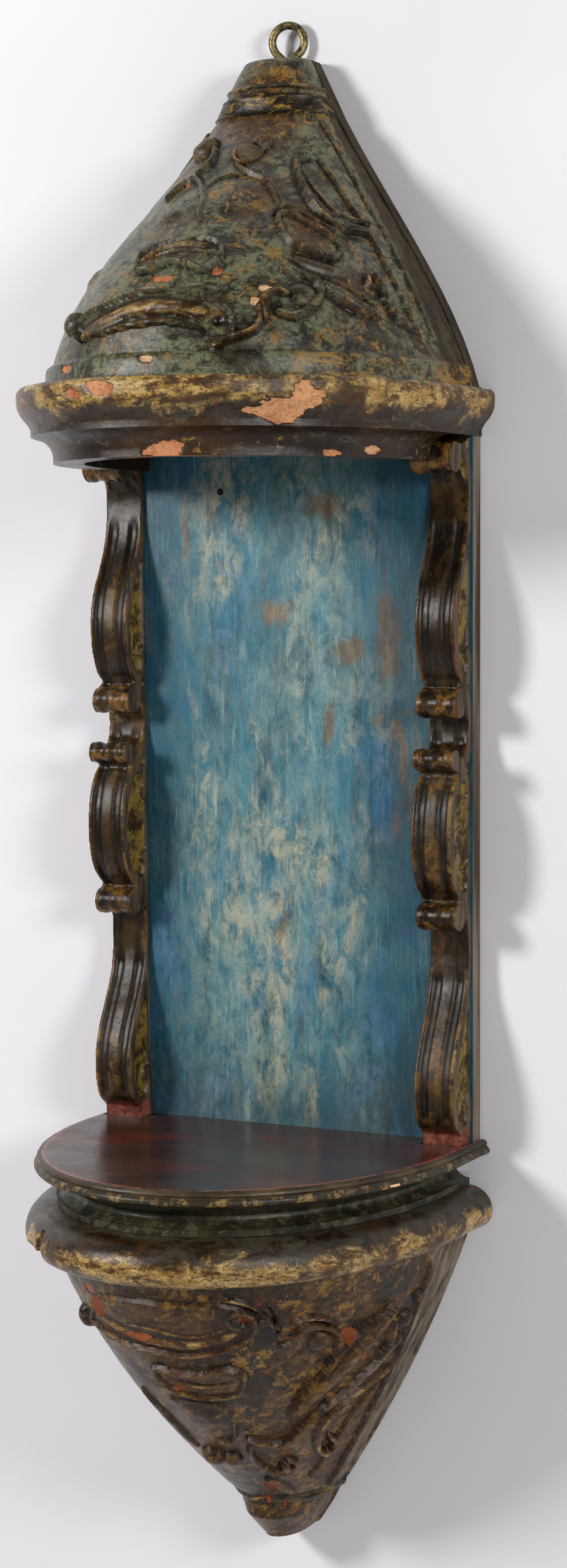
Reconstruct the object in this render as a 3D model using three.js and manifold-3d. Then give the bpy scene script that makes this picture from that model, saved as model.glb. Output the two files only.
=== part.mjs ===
// Statue wall bracket: a painted and gilded niche with a half-round shelf on a carved corbel,
// a blue back board between two scrolled pilasters, and a carved half-cone canopy with a screw eye.
// Units are millimetres. X runs to the right, Y towards the wall, Z up. Heights below are measured
// from the top of the shelf, and the finished group is set with its origin on the back of the board.
import * as THREE from "three";
import { mergeVertices } from "three/addons/utils/BufferGeometryUtils.js";
import Module from "manifold-3d";

const { degToRad, lerp } = THREE.MathUtils;
const wasm = await Module();
wasm.setup();

// Driving dimensions: board and joints
const BOARD_HALF_WIDTH = 135;
const BOARD_THICKNESS = 12;
const JOINT_GAP = 0.3;
const HOUSING_DEPTH = 3;
const WALL_POINT_HEIGHT = 219;

// Driving dimensions: plan of the moulded fronts
const STRAIGHT_SIDE = 45;
const SHELF_OVERHANG = 7;
const SHELF_DEPTH = 230;
const RING_DEPTH = 221;

// Driving dimensions: shelf mouldings
const RIM_HEIGHT = 10;
const RIM_BEAD_RADIUS = 2.8;
const RIM_SET_BACK = 5;
const NECK_HEIGHT = 16.5;
const NECK_RECESS = 24;
const NECK_FILLET_HEIGHT = 4.5;
const NECK_FILLET_RECESS = 14.5;

// Driving dimensions: corbel
const TORUS_HEIGHT = 30;
const TORUS_SIDE_PROUD = 2;
const TORUS_FRONT_PROUD = 14;
const CORBEL_SIDE_RECESS = 16.5;
const CORBEL_FRONT_RECESS = 22;
const CORBEL_DROP = 186;
const CORBEL_TIP_HALF_WIDTH = 35;
const CORBEL_TIP_DEPTH = 61;
const TIP_HEIGHT = 32;
const TIP_END_HALF_WIDTH = 16;
const TIP_END_DEPTH = 44;
const TIP_RIDGE = 4;

// Driving dimensions: niche and canopy
const NICHE_HEIGHT = 441;
const CAVETTO_HEIGHT = 16.5;
const CAVETTO_REACH = 13;
const FILLET_HEIGHT = 4.5;
const FILLET_PROUD = 1;
const RING_HEIGHT = 25;
const RING_BULGE = 10;
const PLINTH_HEIGHT = 16;
const PLINTH_REACH = 7;
const CONE_SIDE_RECESS = 5;
const CONE_FRONT_RECESS = 29;
const CONE_HEIGHT = 159;
const CONE_TOP_HALF_WIDTH = 41.5;
const CONE_TOP_DEPTH = 48;
const BAND_HEIGHT = 12.5;
const BAND_PROUD = 1.5;
const GROOVE_HEIGHT = 4;
const BEAD_HEIGHT = 4;
const CAP_HEIGHT = 18;
const CAP_HALF_WIDTH = 22.5;
const CAP_DEPTH = 30;
const HOLLOW_WALL = 20;
const HOLLOW_HEIGHT = 45;

// Driving dimensions: pilasters
const PILASTER_WIDTH = 30;
const PILASTER_REACH = 49;
const WEB_RECESS = 3;
const STRAP_WIDTH = 8;
const FLUTE_DEPTH = 1.8;
const BASE_BLOCK_HEIGHT = 8;

// Driving dimensions: relief on the cones
const RELIEF_HEIGHT = 6;
const RELIEF_WIDTH = 12;
const RELIEF_SUNK = 2;

// Driving dimensions: hanging eye
const EYE_RADIUS = 10.8;
const EYE_WIRE_RADIUS = 2.7;
const EYE_SHANK = 22;
const EYE_TURN = degToRad(20);
const EYE_OFF_CENTRE = 2.5;

// Steps of the faceted curves
const PLAN_STEPS = 16;
const CURVE_STEPS = 3;
const SWELL_STEPS = 6;
const BOW_STEPS = 4;
const CURL_STEPS = 3;
const CURL_TURN = 1.1;

// Sizes that follow from the dimensions
const SHELF_HALF_WIDTH = BOARD_HALF_WIDTH + SHELF_OVERHANG;
const TORUS_HALF_WIDTH = SHELF_HALF_WIDTH + TORUS_SIDE_PROUD;
const TORUS_DEPTH = SHELF_DEPTH + TORUS_FRONT_PROUD;
const CORBEL_TOP_HALF_WIDTH = TORUS_HALF_WIDTH - CORBEL_SIDE_RECESS;
const CORBEL_TOP_DEPTH = TORUS_DEPTH - CORBEL_FRONT_RECESS;
const CAVETTO_HALF_WIDTH = BOARD_HALF_WIDTH - CAVETTO_REACH;
const CONE_HALF_WIDTH = BOARD_HALF_WIDTH - CONE_SIDE_RECESS;
const CONE_DEPTH = RING_DEPTH - CONE_FRONT_RECESS;
const FOOT_HEIGHT = JOINT_GAP - HOUSING_DEPTH;
const NECK_BOTTOM = -RIM_HEIGHT - NECK_HEIGHT - NECK_FILLET_HEIGHT;
const CORBEL_TOP = NECK_BOTTOM - TORUS_HEIGHT;
const CORBEL_RIDGE = CORBEL_TOP - CORBEL_DROP;
const RING_BOTTOM = NICHE_HEIGHT + CAVETTO_HEIGHT + FILLET_HEIGHT;
const RING_TOP = RING_BOTTOM + RING_HEIGHT;
const CONE_BASE = RING_TOP + PLINTH_HEIGHT;
const CONE_TOP = CONE_BASE + CONE_HEIGHT;
const BAND_TOP = CONE_TOP + BAND_HEIGHT;
const CAP_BASE = BAND_TOP + GROOVE_HEIGHT + BEAD_HEIGHT;
const CAP_TOP = CAP_BASE + CAP_HEIGHT;
const PILASTER_TOP = NICHE_HEIGHT + CAVETTO_HEIGHT - JOINT_GAP;

// A named piece in its own colour
function piece(name, solid, color, roughness, metalness) {
  const mesh = solid.getMesh();
  const geometry = new THREE.BufferGeometry();
  geometry.setAttribute("position", new THREE.BufferAttribute(mesh.vertProperties, 3));
  geometry.setIndex(new THREE.BufferAttribute(mesh.triVerts, 1));
  geometry.computeVertexNormals();
  const made = new THREE.Mesh(
    geometry,
    new THREE.MeshStandardMaterial({ color, roughness, metalness }),
  );
  made.name = name;
  return made;
}

// A closed geometry as a solid, with its shared corners merged and its faces pointing out
function solidFrom(geometry) {
  const bare = geometry.clone();
  bare.deleteAttribute("normal");
  bare.deleteAttribute("uv");
  const merged = mergeVertices(bare, 1e-4);
  const triVerts = new Uint32Array(merged.index.array);
  const vertProperties = new Float32Array(merged.attributes.position.array);
  const made = new wasm.Manifold(new wasm.Mesh({ numProp: 3, vertProperties, triVerts }));
  if (made.volume() > 0) return made;
  for (let i = 0; i < triVerts.length; i += 3) {
    [triVerts[i + 1], triVerts[i + 2]] = [triVerts[i + 2], triVerts[i + 1]];
  }
  return new wasm.Manifold(new wasm.Mesh({ numProp: 3, vertProperties, triVerts }));
}

// A solid through closed rows of points, each row with the same count, closed by flat ends
function loft(rows) {
  const count = rows[0].length;
  const indices = [];
  for (let row = 0; row + 1 < rows.length; row += 1) {
    for (let i = 0; i < count; i += 1) {
      const next = (i + 1) % count;
      const low = row * count;
      const high = low + count;
      indices.push(low + i, low + next, high + next, low + i, high + next, high + i);
    }
  }
  const lastRow = (rows.length - 1) * count;
  for (const [first, row, turned] of [[0, rows[0], true], [lastRow, rows.at(-1), false]]) {
    for (const [a, b, c] of capTriangles(row)) {
      indices.push(...(turned ? [first + a, first + c, first + b] : [first + a, first + b, first + c]));
    }
  }
  const geometry = new THREE.BufferGeometry().setFromPoints(rows.flat());
  geometry.setIndex(indices);
  return solidFrom(geometry);
}

// The triangles of one flat end, found in the plane that the end lies in
function capTriangles(row) {
  const normal = new THREE.Vector3();
  row.forEach((point, i) => normal.add(point.clone().cross(row[(i + 1) % row.length])));
  normal.normalize();
  const side = row[1].clone().sub(row[0]).normalize();
  const up = normal.clone().cross(side);
  const flat = row.map((point) => new THREE.Vector2(point.dot(side), point.dot(up)));
  return THREE.ShapeUtils.triangulateShape(flat, []);
}

// The half-round plan at one height: straight sides from the wall, then a half ellipse
function planPoint(level, angle) {
  const bow = level.depth - level.straight;
  return new THREE.Vector3(
    level.halfWidth * Math.cos(angle),
    -level.straight - bow * Math.sin(angle),
    level.z,
  );
}

function planRow(level) {
  const row = [-1, 1].map((side) => new THREE.Vector3(side * level.halfWidth, 0, level.z));
  for (let i = 0; i <= PLAN_STEPS; i += 1) {
    row.push(planPoint(level, (Math.PI * i) / PLAN_STEPS));
  }
  return row;
}

// A moulding level: everything moves in or out by the same amount all round
function level(z, halfWidth, fullHalfWidth, fullDepth) {
  return { z, halfWidth, depth: fullDepth - (fullHalfWidth - halfWidth), straight: STRAIGHT_SIDE };
}

function block(x0, x1, y0, y1, z0, z1) {
  const geometry = new THREE.BoxGeometry(x1 - x0, y1 - y0, z1 - z0);
  return solidFrom(geometry.translate((x0 + x1) / 2, (y0 + y1) / 2, (z0 + z1) / 2));
}

// The cone of the canopy: share t runs from 0 at its top to 1 at its base. The swells are shares
// of the way out, and the flat sides grow shorter towards the top.
const CONE_SWELL = { side: 0.375, front: 1.1 };
const CONE_STRAIGHT = { top: 0.5, base: 0.95 };

function coneLevel(z) {
  const t = (CONE_TOP - z) / CONE_HEIGHT;
  const swell = t * t * (1 - t);
  return {
    z,
    halfWidth: lerp(CONE_TOP_HALF_WIDTH, CONE_HALF_WIDTH, t + CONE_SWELL.side * swell),
    depth: lerp(CONE_TOP_DEPTH, CONE_DEPTH, t + CONE_SWELL.front * swell),
    straight: STRAIGHT_SIDE * lerp(CONE_STRAIGHT.top, CONE_STRAIGHT.base, t),
  };
}

// The bands and the cap above the cone: share t runs from 0 at the cone's top to 1 at the cap's
const CAP_FALL = 2.2;

function capLevel(z, proud) {
  const t = (z - CONE_TOP) / (CAP_TOP - CONE_TOP);
  const fall = t ** CAP_FALL;
  return {
    z,
    halfWidth: lerp(CONE_TOP_HALF_WIDTH, CAP_HALF_WIDTH, t) + proud,
    depth: lerp(CONE_TOP_DEPTH, CAP_DEPTH, fall) + proud,
    straight: STRAIGHT_SIDE * lerp(CONE_STRAIGHT.top, 0.35, t),
  };
}

// The inverted cone of the corbel: share t runs from 0 under the torus to 1 at the ridge
const CORBEL_SWELL = { side: 0.28, front: 0.5 };
const CORBEL_STRAIGHT_SHARE = 0.6;

function corbelLevel(z) {
  const t = (CORBEL_TOP - z) / CORBEL_DROP;
  const swell = t * (1 - t);
  return {
    z,
    halfWidth: lerp(CORBEL_TOP_HALF_WIDTH, CORBEL_TIP_HALF_WIDTH, t - CORBEL_SWELL.side * swell),
    depth: lerp(CORBEL_TOP_DEPTH, CORBEL_TIP_DEPTH, t - CORBEL_SWELL.front * swell),
    straight: STRAIGHT_SIDE * (1 - CORBEL_STRAIGHT_SHARE * t),
  };
}

// Relief: paths are drawn on the cone as it would lie flat, in millimetres, and then wrapped on it
function surfaceRadius(body, z) {
  const here = planPoint(body(z), Math.PI / 2 - 0.5);
  const there = planPoint(body(z), Math.PI / 2 + 0.5);
  return here.distanceTo(there);
}

function onCone(body, around, z, lift) {
  const angle = degToRad(around);
  const small = 0.01;
  const centre = planPoint(body(z), angle);
  const along = planPoint(body(z), angle + small).sub(planPoint(body(z), angle - small));
  const upward = planPoint(body(z + 1), angle).sub(planPoint(body(z - 1), angle));
  const outward = upward.clone().cross(along).normalize();
  return { point: centre.addScaledVector(outward, lift), outward };
}

// A scroll from one eye to the other: a bowed band whose ends curl in. Points are [degrees, height].
function scrollPath(body, { from, to, bow, curls, sides }) {
  const middleHeight = (from[1] + to[1]) / 2;
  const degreesPerMm = 180 / (Math.PI * surfaceRadius(body, middleHeight));
  const start = new THREE.Vector2(0, from[1]);
  const end = new THREE.Vector2((from[0] - to[0]) / degreesPerMm, to[1]);
  const chord = end.clone().sub(start);
  const normal = new THREE.Vector2(-chord.y, chord.x).normalize();
  const bowed = (share) => {
    const wave = sides[0] === sides[1] ? Math.sin(Math.PI * share) : Math.sin(2 * Math.PI * share);
    return start.clone().addScaledVector(chord, share).addScaledVector(normal, bow * wave);
  };
  const path = [];
  for (let i = 0; i <= BOW_STEPS; i += 1) path.push(bowed(i / BOW_STEPS));
  const ends = [[path[0], path[1]], [path.at(-1), path.at(-2)]];
  const curled = ends.map(([tip, before], i) => curl(tip, before, curls[i], sides[i] * (i === 0 ? 1 : -1)));
  const whole = [...curled[0].reverse(), ...path, ...curled[1]];
  return whole.map((point) => [from[0] - point.x * degreesPerMm, point.y]);
}

// The curled end: short steps that turn and tighten
function curl(tip, before, radius, side) {
  const points = [];
  if (radius === 0) return points;
  let heading = Math.atan2(tip.y - before.y, tip.x - before.x);
  let here = tip.clone();
  for (let i = 0; i < CURL_STEPS; i += 1) {
    heading += side * CURL_TURN;
    const step = radius * (1 - 0.15 * i);
    here = here.clone().add(new THREE.Vector2(Math.cos(heading) * step, Math.sin(heading) * step));
    points.push(here);
  }
  return points;
}

// A raised band along a path on the cone, thin at both ends, its foot sunk under the surface
function ridge(body, path, width, height) {
  const spine = path.map(([around, z]) => onCone(body, around, z, 0));
  const rows = spine.map(({ point, outward }, i) => {
    const before = spine[Math.max(i - 1, 0)].point;
    const after = spine[Math.min(i + 1, spine.length - 1)].point;
    const ahead = after.clone().sub(before).normalize();
    const across = outward.clone().cross(ahead).normalize();
    const share = i / (spine.length - 1);
    const full = 0.45 + 0.55 * Math.sin(Math.PI * share);
    const at = (side, lift) => {
      return point.clone().addScaledVector(across, side * full * width).addScaledVector(outward, lift);
    };
    const top = height * full;
    return [at(-0.5, -RELIEF_SUNK), at(-0.28, top), at(0.28, top), at(0.5, -RELIEF_SUNK)];
  });
  return loft(rows);
}

// A rounded knob on the cone
function knob(body, [around, z], radius) {
  const { point, outward } = onCone(body, around, z, 0);
  const ball = new THREE.SphereGeometry(radius, 8, 5);
  ball.scale(1, 1, 0.75);
  const turn = new THREE.Quaternion().setFromUnitVectors(new THREE.Vector3(0, 0, 1), outward);
  ball.applyQuaternion(turn);
  return solidFrom(ball.translate(point.x, point.y, point.z));
}

// Carving of the canopy: [degrees round the plan, share of the cone's height]. Scrolls are bands of
// a width that is a share of the relief's; knobs have a radius in millimetres.
const CANOPY_SCROLLS = [
  { from: [118, 0.1], to: [68, 0.06], bow: 24, curls: [8, 9], sides: [-1, -1], width: 1.3 },
  { from: [102, 0.35], to: [73, 0.33], bow: 14, curls: [7, 7], sides: [-1, -1], width: 0.9 },
  { from: [50, 0.19], to: [68, 0.03], bow: 10, curls: [9, 0], sides: [1, 1], width: 0.8 },
  { from: [46, 0.79], to: [17, 0.49], bow: -7, curls: [5, 0], sides: [-1, -1], width: 0.9 },
  { from: [52, 0.52], to: [32, 0.4], bow: -9, curls: [7, 7], sides: [1, 1], width: 0.9 },
  { from: [41, 0.27], to: [25, 0.14], bow: -5, curls: [0, 0], sides: [-1, -1], width: 1.1 },
  { from: [21, 0.31], to: [14, 0.11], bow: 3, curls: [0, 0], sides: [1, 1], width: 0.8 },
  { from: [116, 0.68], to: [87, 0.53], bow: 9, curls: [0, 5], sides: [-1, -1], width: 0.8 },
  { from: [34, 0.8], to: [11, 0.04], bow: 9, curls: [0, 0], sides: [1, 1], width: 0.6 },
];
const CANOPY_KNOBS = [[116, 0.88, 9], [80, 0.83, 9], [125, 0.14, 8], [46, 0.22, 7]];

// Carving of the corbel: [degrees round the plan, share of the way down the cone]
const CORBEL_SCROLLS = [
  { from: [116, 0.18], to: [61, 0.13], bow: -14, curls: [7, 9], sides: [1, 1], width: 1.4 },
  { from: [57, 0.07], to: [50, 0.24], bow: -6, curls: [0, 5], sides: [-1, 1], width: 0.8 },
  { from: [46, 0.2], to: [34, 0.33], bow: 7, curls: [4, 0], sides: [-1, -1], width: 0.9 },
  { from: [93, 0.36], to: [65, 0.37], bow: -12, curls: [6, 6], sides: [1, 1], width: 0.9 },
  { from: [15, 0.22], to: [44, 0.52], bow: 5, curls: [6, 0], sides: [-1, 1], width: 1.4 },
  { from: [8, 0.46], to: [27, 0.72], bow: 7, curls: [0, 6], sides: [1, 1], width: 0.8 },
  { from: [68, 0.65], to: [38, 0.56], bow: -9, curls: [0, 0], sides: [1, 1], width: 0.8 },
  { from: [67, 0.7], to: [50, 0.8], bow: -5, curls: [4, 5], sides: [1, 1], width: 0.9 },
  { from: [111, 0.53], to: [103, 0.72], bow: -3, curls: [0, 0], sides: [-1, -1], width: 0.8 },
  { from: [5, 0.16], to: [12, 0.96], bow: -3, curls: [0, 0], sides: [1, 1], width: 0.6 },
];
const CORBEL_KNOBS = [[126, 0.22, 7], [91, 0.75, 7], [81, 0.76, 6], [50, 0.79, 5], [8, 0.27, 6]];

function carve(body, heightOf, base, scrolls, knobs) {
  let carved = base;
  for (const { from, to, width, ...bends } of scrolls) {
    const ends = { from: [from[0], heightOf(from[1])], to: [to[0], heightOf(to[1])] };
    const line = scrollPath(body, { ...ends, ...bends });
    carved = carved.add(ridge(body, line, RELIEF_WIDTH * width, RELIEF_HEIGHT));
  }
  for (const [around, share, radius] of knobs) {
    carved = carved.add(knob(body, [around, heightOf(share)], radius));
  }
  return carved;
}

// Moulding curves: levels along a part of an ellipse, from one angle to another
function arcLevels(centre, reach, [fromDegrees, toDegrees], steps, toLevel) {
  const levels = [];
  for (let i = 0; i <= steps; i += 1) {
    const angle = degToRad(fromDegrees + ((toDegrees - fromDegrees) * i) / steps);
    const z = centre.z + reach.z * Math.sin(angle);
    levels.push(toLevel(z, centre.halfWidth + reach.side * Math.cos(angle)));
  }
  return levels;
}

// Back board: flat, as wide as the niche, cut to the canopy's outline above it and let into the shelf
function backBoard() {
  const shape = new THREE.Shape();
  const outline = [[BOARD_HALF_WIDTH, FOOT_HEIGHT], [BOARD_HALF_WIDTH, RING_TOP]];
  const steps = 10;
  for (let i = 0; i <= steps; i += 1) {
    const here = coneLevel(CONE_BASE + (CONE_HEIGHT * i) / steps);
    outline.push([here.halfWidth, here.z]);
  }
  outline.push([CAP_HALF_WIDTH, CAP_TOP - JOINT_GAP]);
  outline.forEach(([x, z], i) => (i === 0 ? shape.moveTo(x, z) : shape.lineTo(x, z)));
  outline.reverse().forEach(([x, z]) => shape.lineTo(-x, z));
  const geometry = new THREE.ExtrudeGeometry(shape, { depth: BOARD_THICKNESS, bevelEnabled: false });
  return solidFrom(geometry.rotateX(Math.PI / 2)).subtract(eyeSocket());
}

// What a front piece leaves free for the board behind it
function boardRoom(z0, z1) {
  const half = BOARD_HALF_WIDTH + JOINT_GAP;
  return block(-half, half, -BOARD_THICKNESS - JOINT_GAP, 1, z0, z1);
}

// Profile of the ring and of the plinth above it: [share of the height, share of the reach]
const RING_PROFILE = [[0, 0.1], [0.14, 0.32], [0.34, 0.74], [0.55, 0.97], [0.88, 1], [1, 0.75]];
const PLINTH_PROFILE = [[0, 1], [0.14, 0.74], [0.45, 0.62], [0.85, 0.55], [0.97, 0.3]];
const CONE_ROWS = 5;

function canopy() {
  const ring = (z, halfWidth) => level(z, halfWidth, BOARD_HALF_WIDTH, RING_DEPTH);
  const cavettoStart = { z: NICHE_HEIGHT + CAVETTO_HEIGHT * 0.2, halfWidth: BOARD_HALF_WIDTH };
  const cavettoReach = { z: CAVETTO_HEIGHT * 0.75, side: CAVETTO_REACH };
  const levels = [
    ring(NICHE_HEIGHT, CAVETTO_HALF_WIDTH),
    ...arcLevels(cavettoStart, cavettoReach, [180, 105], CURVE_STEPS, ring),
    ring(RING_BOTTOM - FILLET_HEIGHT, BOARD_HALF_WIDTH + FILLET_PROUD),
    ring(RING_BOTTOM, BOARD_HALF_WIDTH + FILLET_PROUD),
    ...RING_PROFILE.map(([up, out]) => {
      return ring(RING_BOTTOM + RING_HEIGHT * up, BOARD_HALF_WIDTH + RING_BULGE * out);
    }),
  ];
  const coneFoot = coneLevel(CONE_BASE);
  for (const [up, out] of PLINTH_PROFILE) {
    levels.push({
      z: RING_TOP + PLINTH_HEIGHT * up,
      halfWidth: coneFoot.halfWidth + PLINTH_REACH * out,
      depth: coneFoot.depth + PLINTH_REACH * out,
      straight: coneFoot.straight,
    });
  }
  for (let i = 0; i <= CONE_ROWS; i += 1) {
    levels.push(coneLevel(CONE_BASE + (CONE_HEIGHT * i) / CONE_ROWS));
  }
  levels.push(capLevel(CONE_TOP + BAND_PROUD, BAND_PROUD));
  levels.push(capLevel(BAND_TOP, BAND_PROUD));
  levels.push(capLevel(BAND_TOP + BAND_PROUD, 0));
  levels.push(capLevel(CAP_BASE - BEAD_HEIGHT, 0));
  levels.push(capLevel(CAP_BASE - BEAD_HEIGHT * 0.7, BAND_PROUD));
  levels.push(capLevel(CAP_BASE, 0));
  levels.push(capLevel(CAP_TOP, 0));
  const hollow = loft([NICHE_HEIGHT - 1, NICHE_HEIGHT + HOLLOW_HEIGHT].map((z) => planRow({
    z,
    halfWidth: CAVETTO_HALF_WIDTH - HOLLOW_WALL,
    depth: RING_DEPTH - CAVETTO_REACH - HOLLOW_WALL,
    straight: STRAIGHT_SIDE,
  })));
  const heightOf = (share) => CONE_BASE + CONE_HEIGHT * share;
  return carve(coneLevel, heightOf, loft(levels.map(planRow)), CANOPY_SCROLLS, CANOPY_KNOBS)
    .subtract(hollow)
    .subtract(boardRoom(NICHE_HEIGHT - 1, CAP_TOP + 1))
    .subtract(pilasterRoom(1))
    .subtract(pilasterRoom(-1));
}

// A block of room round one pilaster's plan, with the joint's gap on every side
function besidePilaster(side, reach, z0, z1) {
  const inner = BOARD_HALF_WIDTH - PILASTER_WIDTH - JOINT_GAP;
  const outer = BOARD_HALF_WIDTH + JOINT_GAP;
  return block(side > 0 ? inner : -outer, side > 0 ? outer : -inner, -reach - JOINT_GAP, 1, z0, z1);
}

// The canopy sits down over the top of each pilaster
function pilasterRoom(side) {
  return besidePilaster(side, PILASTER_REACH, NICHE_HEIGHT - 1, PILASTER_TOP + JOINT_GAP);
}

// Profile of the neck under the shelf: [share of the height, share of the recess]
const NECK_PROFILE = [[0.12, 0.86], [0.35, 1], [0.65, 0.72], [0.88, 0.3]];

function shelf() {
  const at = (z, halfWidth) => level(z, halfWidth, SHELF_HALF_WIDTH, SHELF_DEPTH);
  const filletTop = NECK_BOTTOM + NECK_FILLET_HEIGHT;
  const bead = { z: -RIM_HEIGHT + RIM_BEAD_RADIUS, halfWidth: SHELF_HALF_WIDTH - RIM_BEAD_RADIUS };
  const levels = [
    at(NECK_BOTTOM, SHELF_HALF_WIDTH - NECK_FILLET_RECESS),
    at(filletTop, SHELF_HALF_WIDTH - NECK_FILLET_RECESS),
    ...NECK_PROFILE.map(([up, back]) => {
      return at(filletTop + NECK_HEIGHT * up, SHELF_HALF_WIDTH - NECK_RECESS * back);
    }),
    ...arcLevels(bead, { z: RIM_BEAD_RADIUS, side: RIM_BEAD_RADIUS }, [-80, 60], 3, at),
    at(-RIM_HEIGHT * 0.35, SHELF_HALF_WIDTH - RIM_SET_BACK * 0.32),
    at(-RIM_HEIGHT * 0.12, SHELF_HALF_WIDTH - RIM_SET_BACK * 0.55),
    at(0, SHELF_HALF_WIDTH - RIM_SET_BACK),
  ];
  const footReach = pilasterReach(BASE_BLOCK_HEIGHT);
  return loft(levels.map(planRow))
    .subtract(boardRoom(-HOUSING_DEPTH, 1))
    .subtract(besidePilaster(1, footReach, -HOUSING_DEPTH, 1))
    .subtract(besidePilaster(-1, footReach, -HOUSING_DEPTH, 1));
}

function corbel() {
  const at = (z, halfWidth) => level(z, halfWidth, TORUS_HALF_WIDTH, TORUS_DEPTH);
  const top = NECK_BOTTOM - JOINT_GAP;
  const swell = { z: NECK_BOTTOM - TORUS_HEIGHT * 0.55, halfWidth: CORBEL_TOP_HALF_WIDTH };
  const reach = (height) => ({ z: height, side: CORBEL_SIDE_RECESS });
  const foot = corbelLevel(CORBEL_RIDGE);
  const beside = (up, out) => ({
    z: CORBEL_RIDGE + TIP_RIDGE * up,
    halfWidth: foot.halfWidth + TIP_RIDGE * out,
    depth: foot.depth + TIP_RIDGE * out,
    straight: foot.straight,
  });
  const levels = [
    {
      z: CORBEL_RIDGE - TIP_HEIGHT,
      halfWidth: TIP_END_HALF_WIDTH,
      depth: TIP_END_DEPTH,
      straight: TIP_END_HALF_WIDTH,
    },
    {
      z: CORBEL_RIDGE - TIP_HEIGHT * 0.45,
      halfWidth: lerp(TIP_END_HALF_WIDTH, CORBEL_TIP_HALF_WIDTH, 0.55),
      depth: lerp(TIP_END_DEPTH, CORBEL_TIP_DEPTH, 0.9),
      straight: TIP_END_HALF_WIDTH,
    },
    beside(-1, -0.8),
    beside(-0.5, 0.4),
    beside(0.5, 0.4),
  ];
  for (let i = 1; i <= CONE_ROWS; i += 1) {
    levels.push(corbelLevel(CORBEL_RIDGE + (CORBEL_DROP * i) / CONE_ROWS));
  }
  levels.push(...arcLevels(swell, reach(swell.z - CORBEL_TOP), [-72, 0], 4, at));
  levels.push(...arcLevels(swell, reach(top - swell.z), [25, 90], 3, at));
  const heightOf = (share) => CORBEL_TOP - CORBEL_DROP * share;
  const whole = carve(corbelLevel, heightOf, loft(levels.map(planRow)), CORBEL_SCROLLS, CORBEL_KNOBS);
  return whole.subtract(brokenEnd());
}

// The lost corner of the torus at its left end
function brokenEnd() {
  const chip = new THREE.IcosahedronGeometry(10, 1);
  chip.scale(1.1, 1.3, 1);
  const broken = level(NECK_BOTTOM - TORUS_HEIGHT, TORUS_HALF_WIDTH, TORUS_HALF_WIDTH, TORUS_DEPTH);
  const place = planPoint(broken, degToRad(135));
  return solidFrom(chip.translate(place.x, place.y, place.z));
}

// Pilaster front line, from the bottom up. Heights are shares of the niche's; reaches from the wall
// and radii are shares of the pilaster's full reach.
const PILASTER_NECK = 0.316;
const PILASTER_ROLLS = [
  { at: 0.34, radius: 0.194, reach: 0.816 },
  { at: 0.571, radius: 0.163, reach: 0.908 },
  { at: 0.65, radius: 0.194, reach: 0.816 },
  { at: 1.008, radius: 0.245, reach: 1 },
];
const PILASTER_SWELLS = [
  { from: 0, to: 0.316, peak: 0.115, reach: 0.878, foot: 0.592 },
  { from: 0.367, to: 0.554, peak: 0.463, reach: 0.969, foot: 0.449 },
  { from: 0.677, to: 0.968, peak: 0.763, reach: 0.837, foot: 0.49 },
];

// The eyes of the scrolls, which show on the pilaster's sides
const PILASTER_EYES = [
  { at: 0.052, radius: 0.14, reach: 0.41 },
  { at: 0.41, radius: 0.12, reach: 0.41 },
  { at: 0.533, radius: 0.11, reach: 0.41 },
  { at: 0.706, radius: 0.12, reach: 0.41 },
];

function pilasterReach(z) {
  const share = z / NICHE_HEIGHT;
  let reach = PILASTER_NECK;
  for (const roll of PILASTER_ROLLS) {
    const away = ((share - roll.at) * NICHE_HEIGHT) / PILASTER_REACH;
    if (Math.abs(away) < roll.radius) {
      reach = Math.max(reach, roll.reach - roll.radius + Math.sqrt(roll.radius ** 2 - away ** 2));
    }
  }
  for (const swell of PILASTER_SWELLS) {
    if (share < swell.from || share > swell.to) continue;
    const below = share < swell.peak;
    const end = below ? swell.from : swell.to;
    const foot = below ? swell.foot : PILASTER_NECK;
    const fall = (1 - Math.cos((Math.PI * (share - end)) / (swell.peak - end))) / 2;
    reach = Math.max(reach, foot + (swell.reach - foot) * fall);
  }
  return reach * PILASTER_REACH;
}

// Heights of the rows: even steps on the swells, finer steps round each roll
function pilasterHeights() {
  const shares = [0];
  for (const { from, to } of PILASTER_SWELLS) {
    for (let i = 0; i <= SWELL_STEPS; i += 1) shares.push(from + ((to - from) * i) / SWELL_STEPS);
  }
  for (const { at, radius } of PILASTER_ROLLS) {
    const rise = (radius * PILASTER_REACH) / NICHE_HEIGHT;
    for (const step of [-0.99, -0.7, 0, 0.7, 0.99]) shares.push(at + step * rise);
  }
  const heights = shares
    .map((share) => share * NICHE_HEIGHT)
    .filter((z) => z > BASE_BLOCK_HEIGHT && z < PILASTER_TOP - 1)
    .sort((a, b) => a - b);
  return [FOOT_HEIGHT, BASE_BLOCK_HEIGHT, ...heights, PILASTER_TOP];
}

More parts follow.
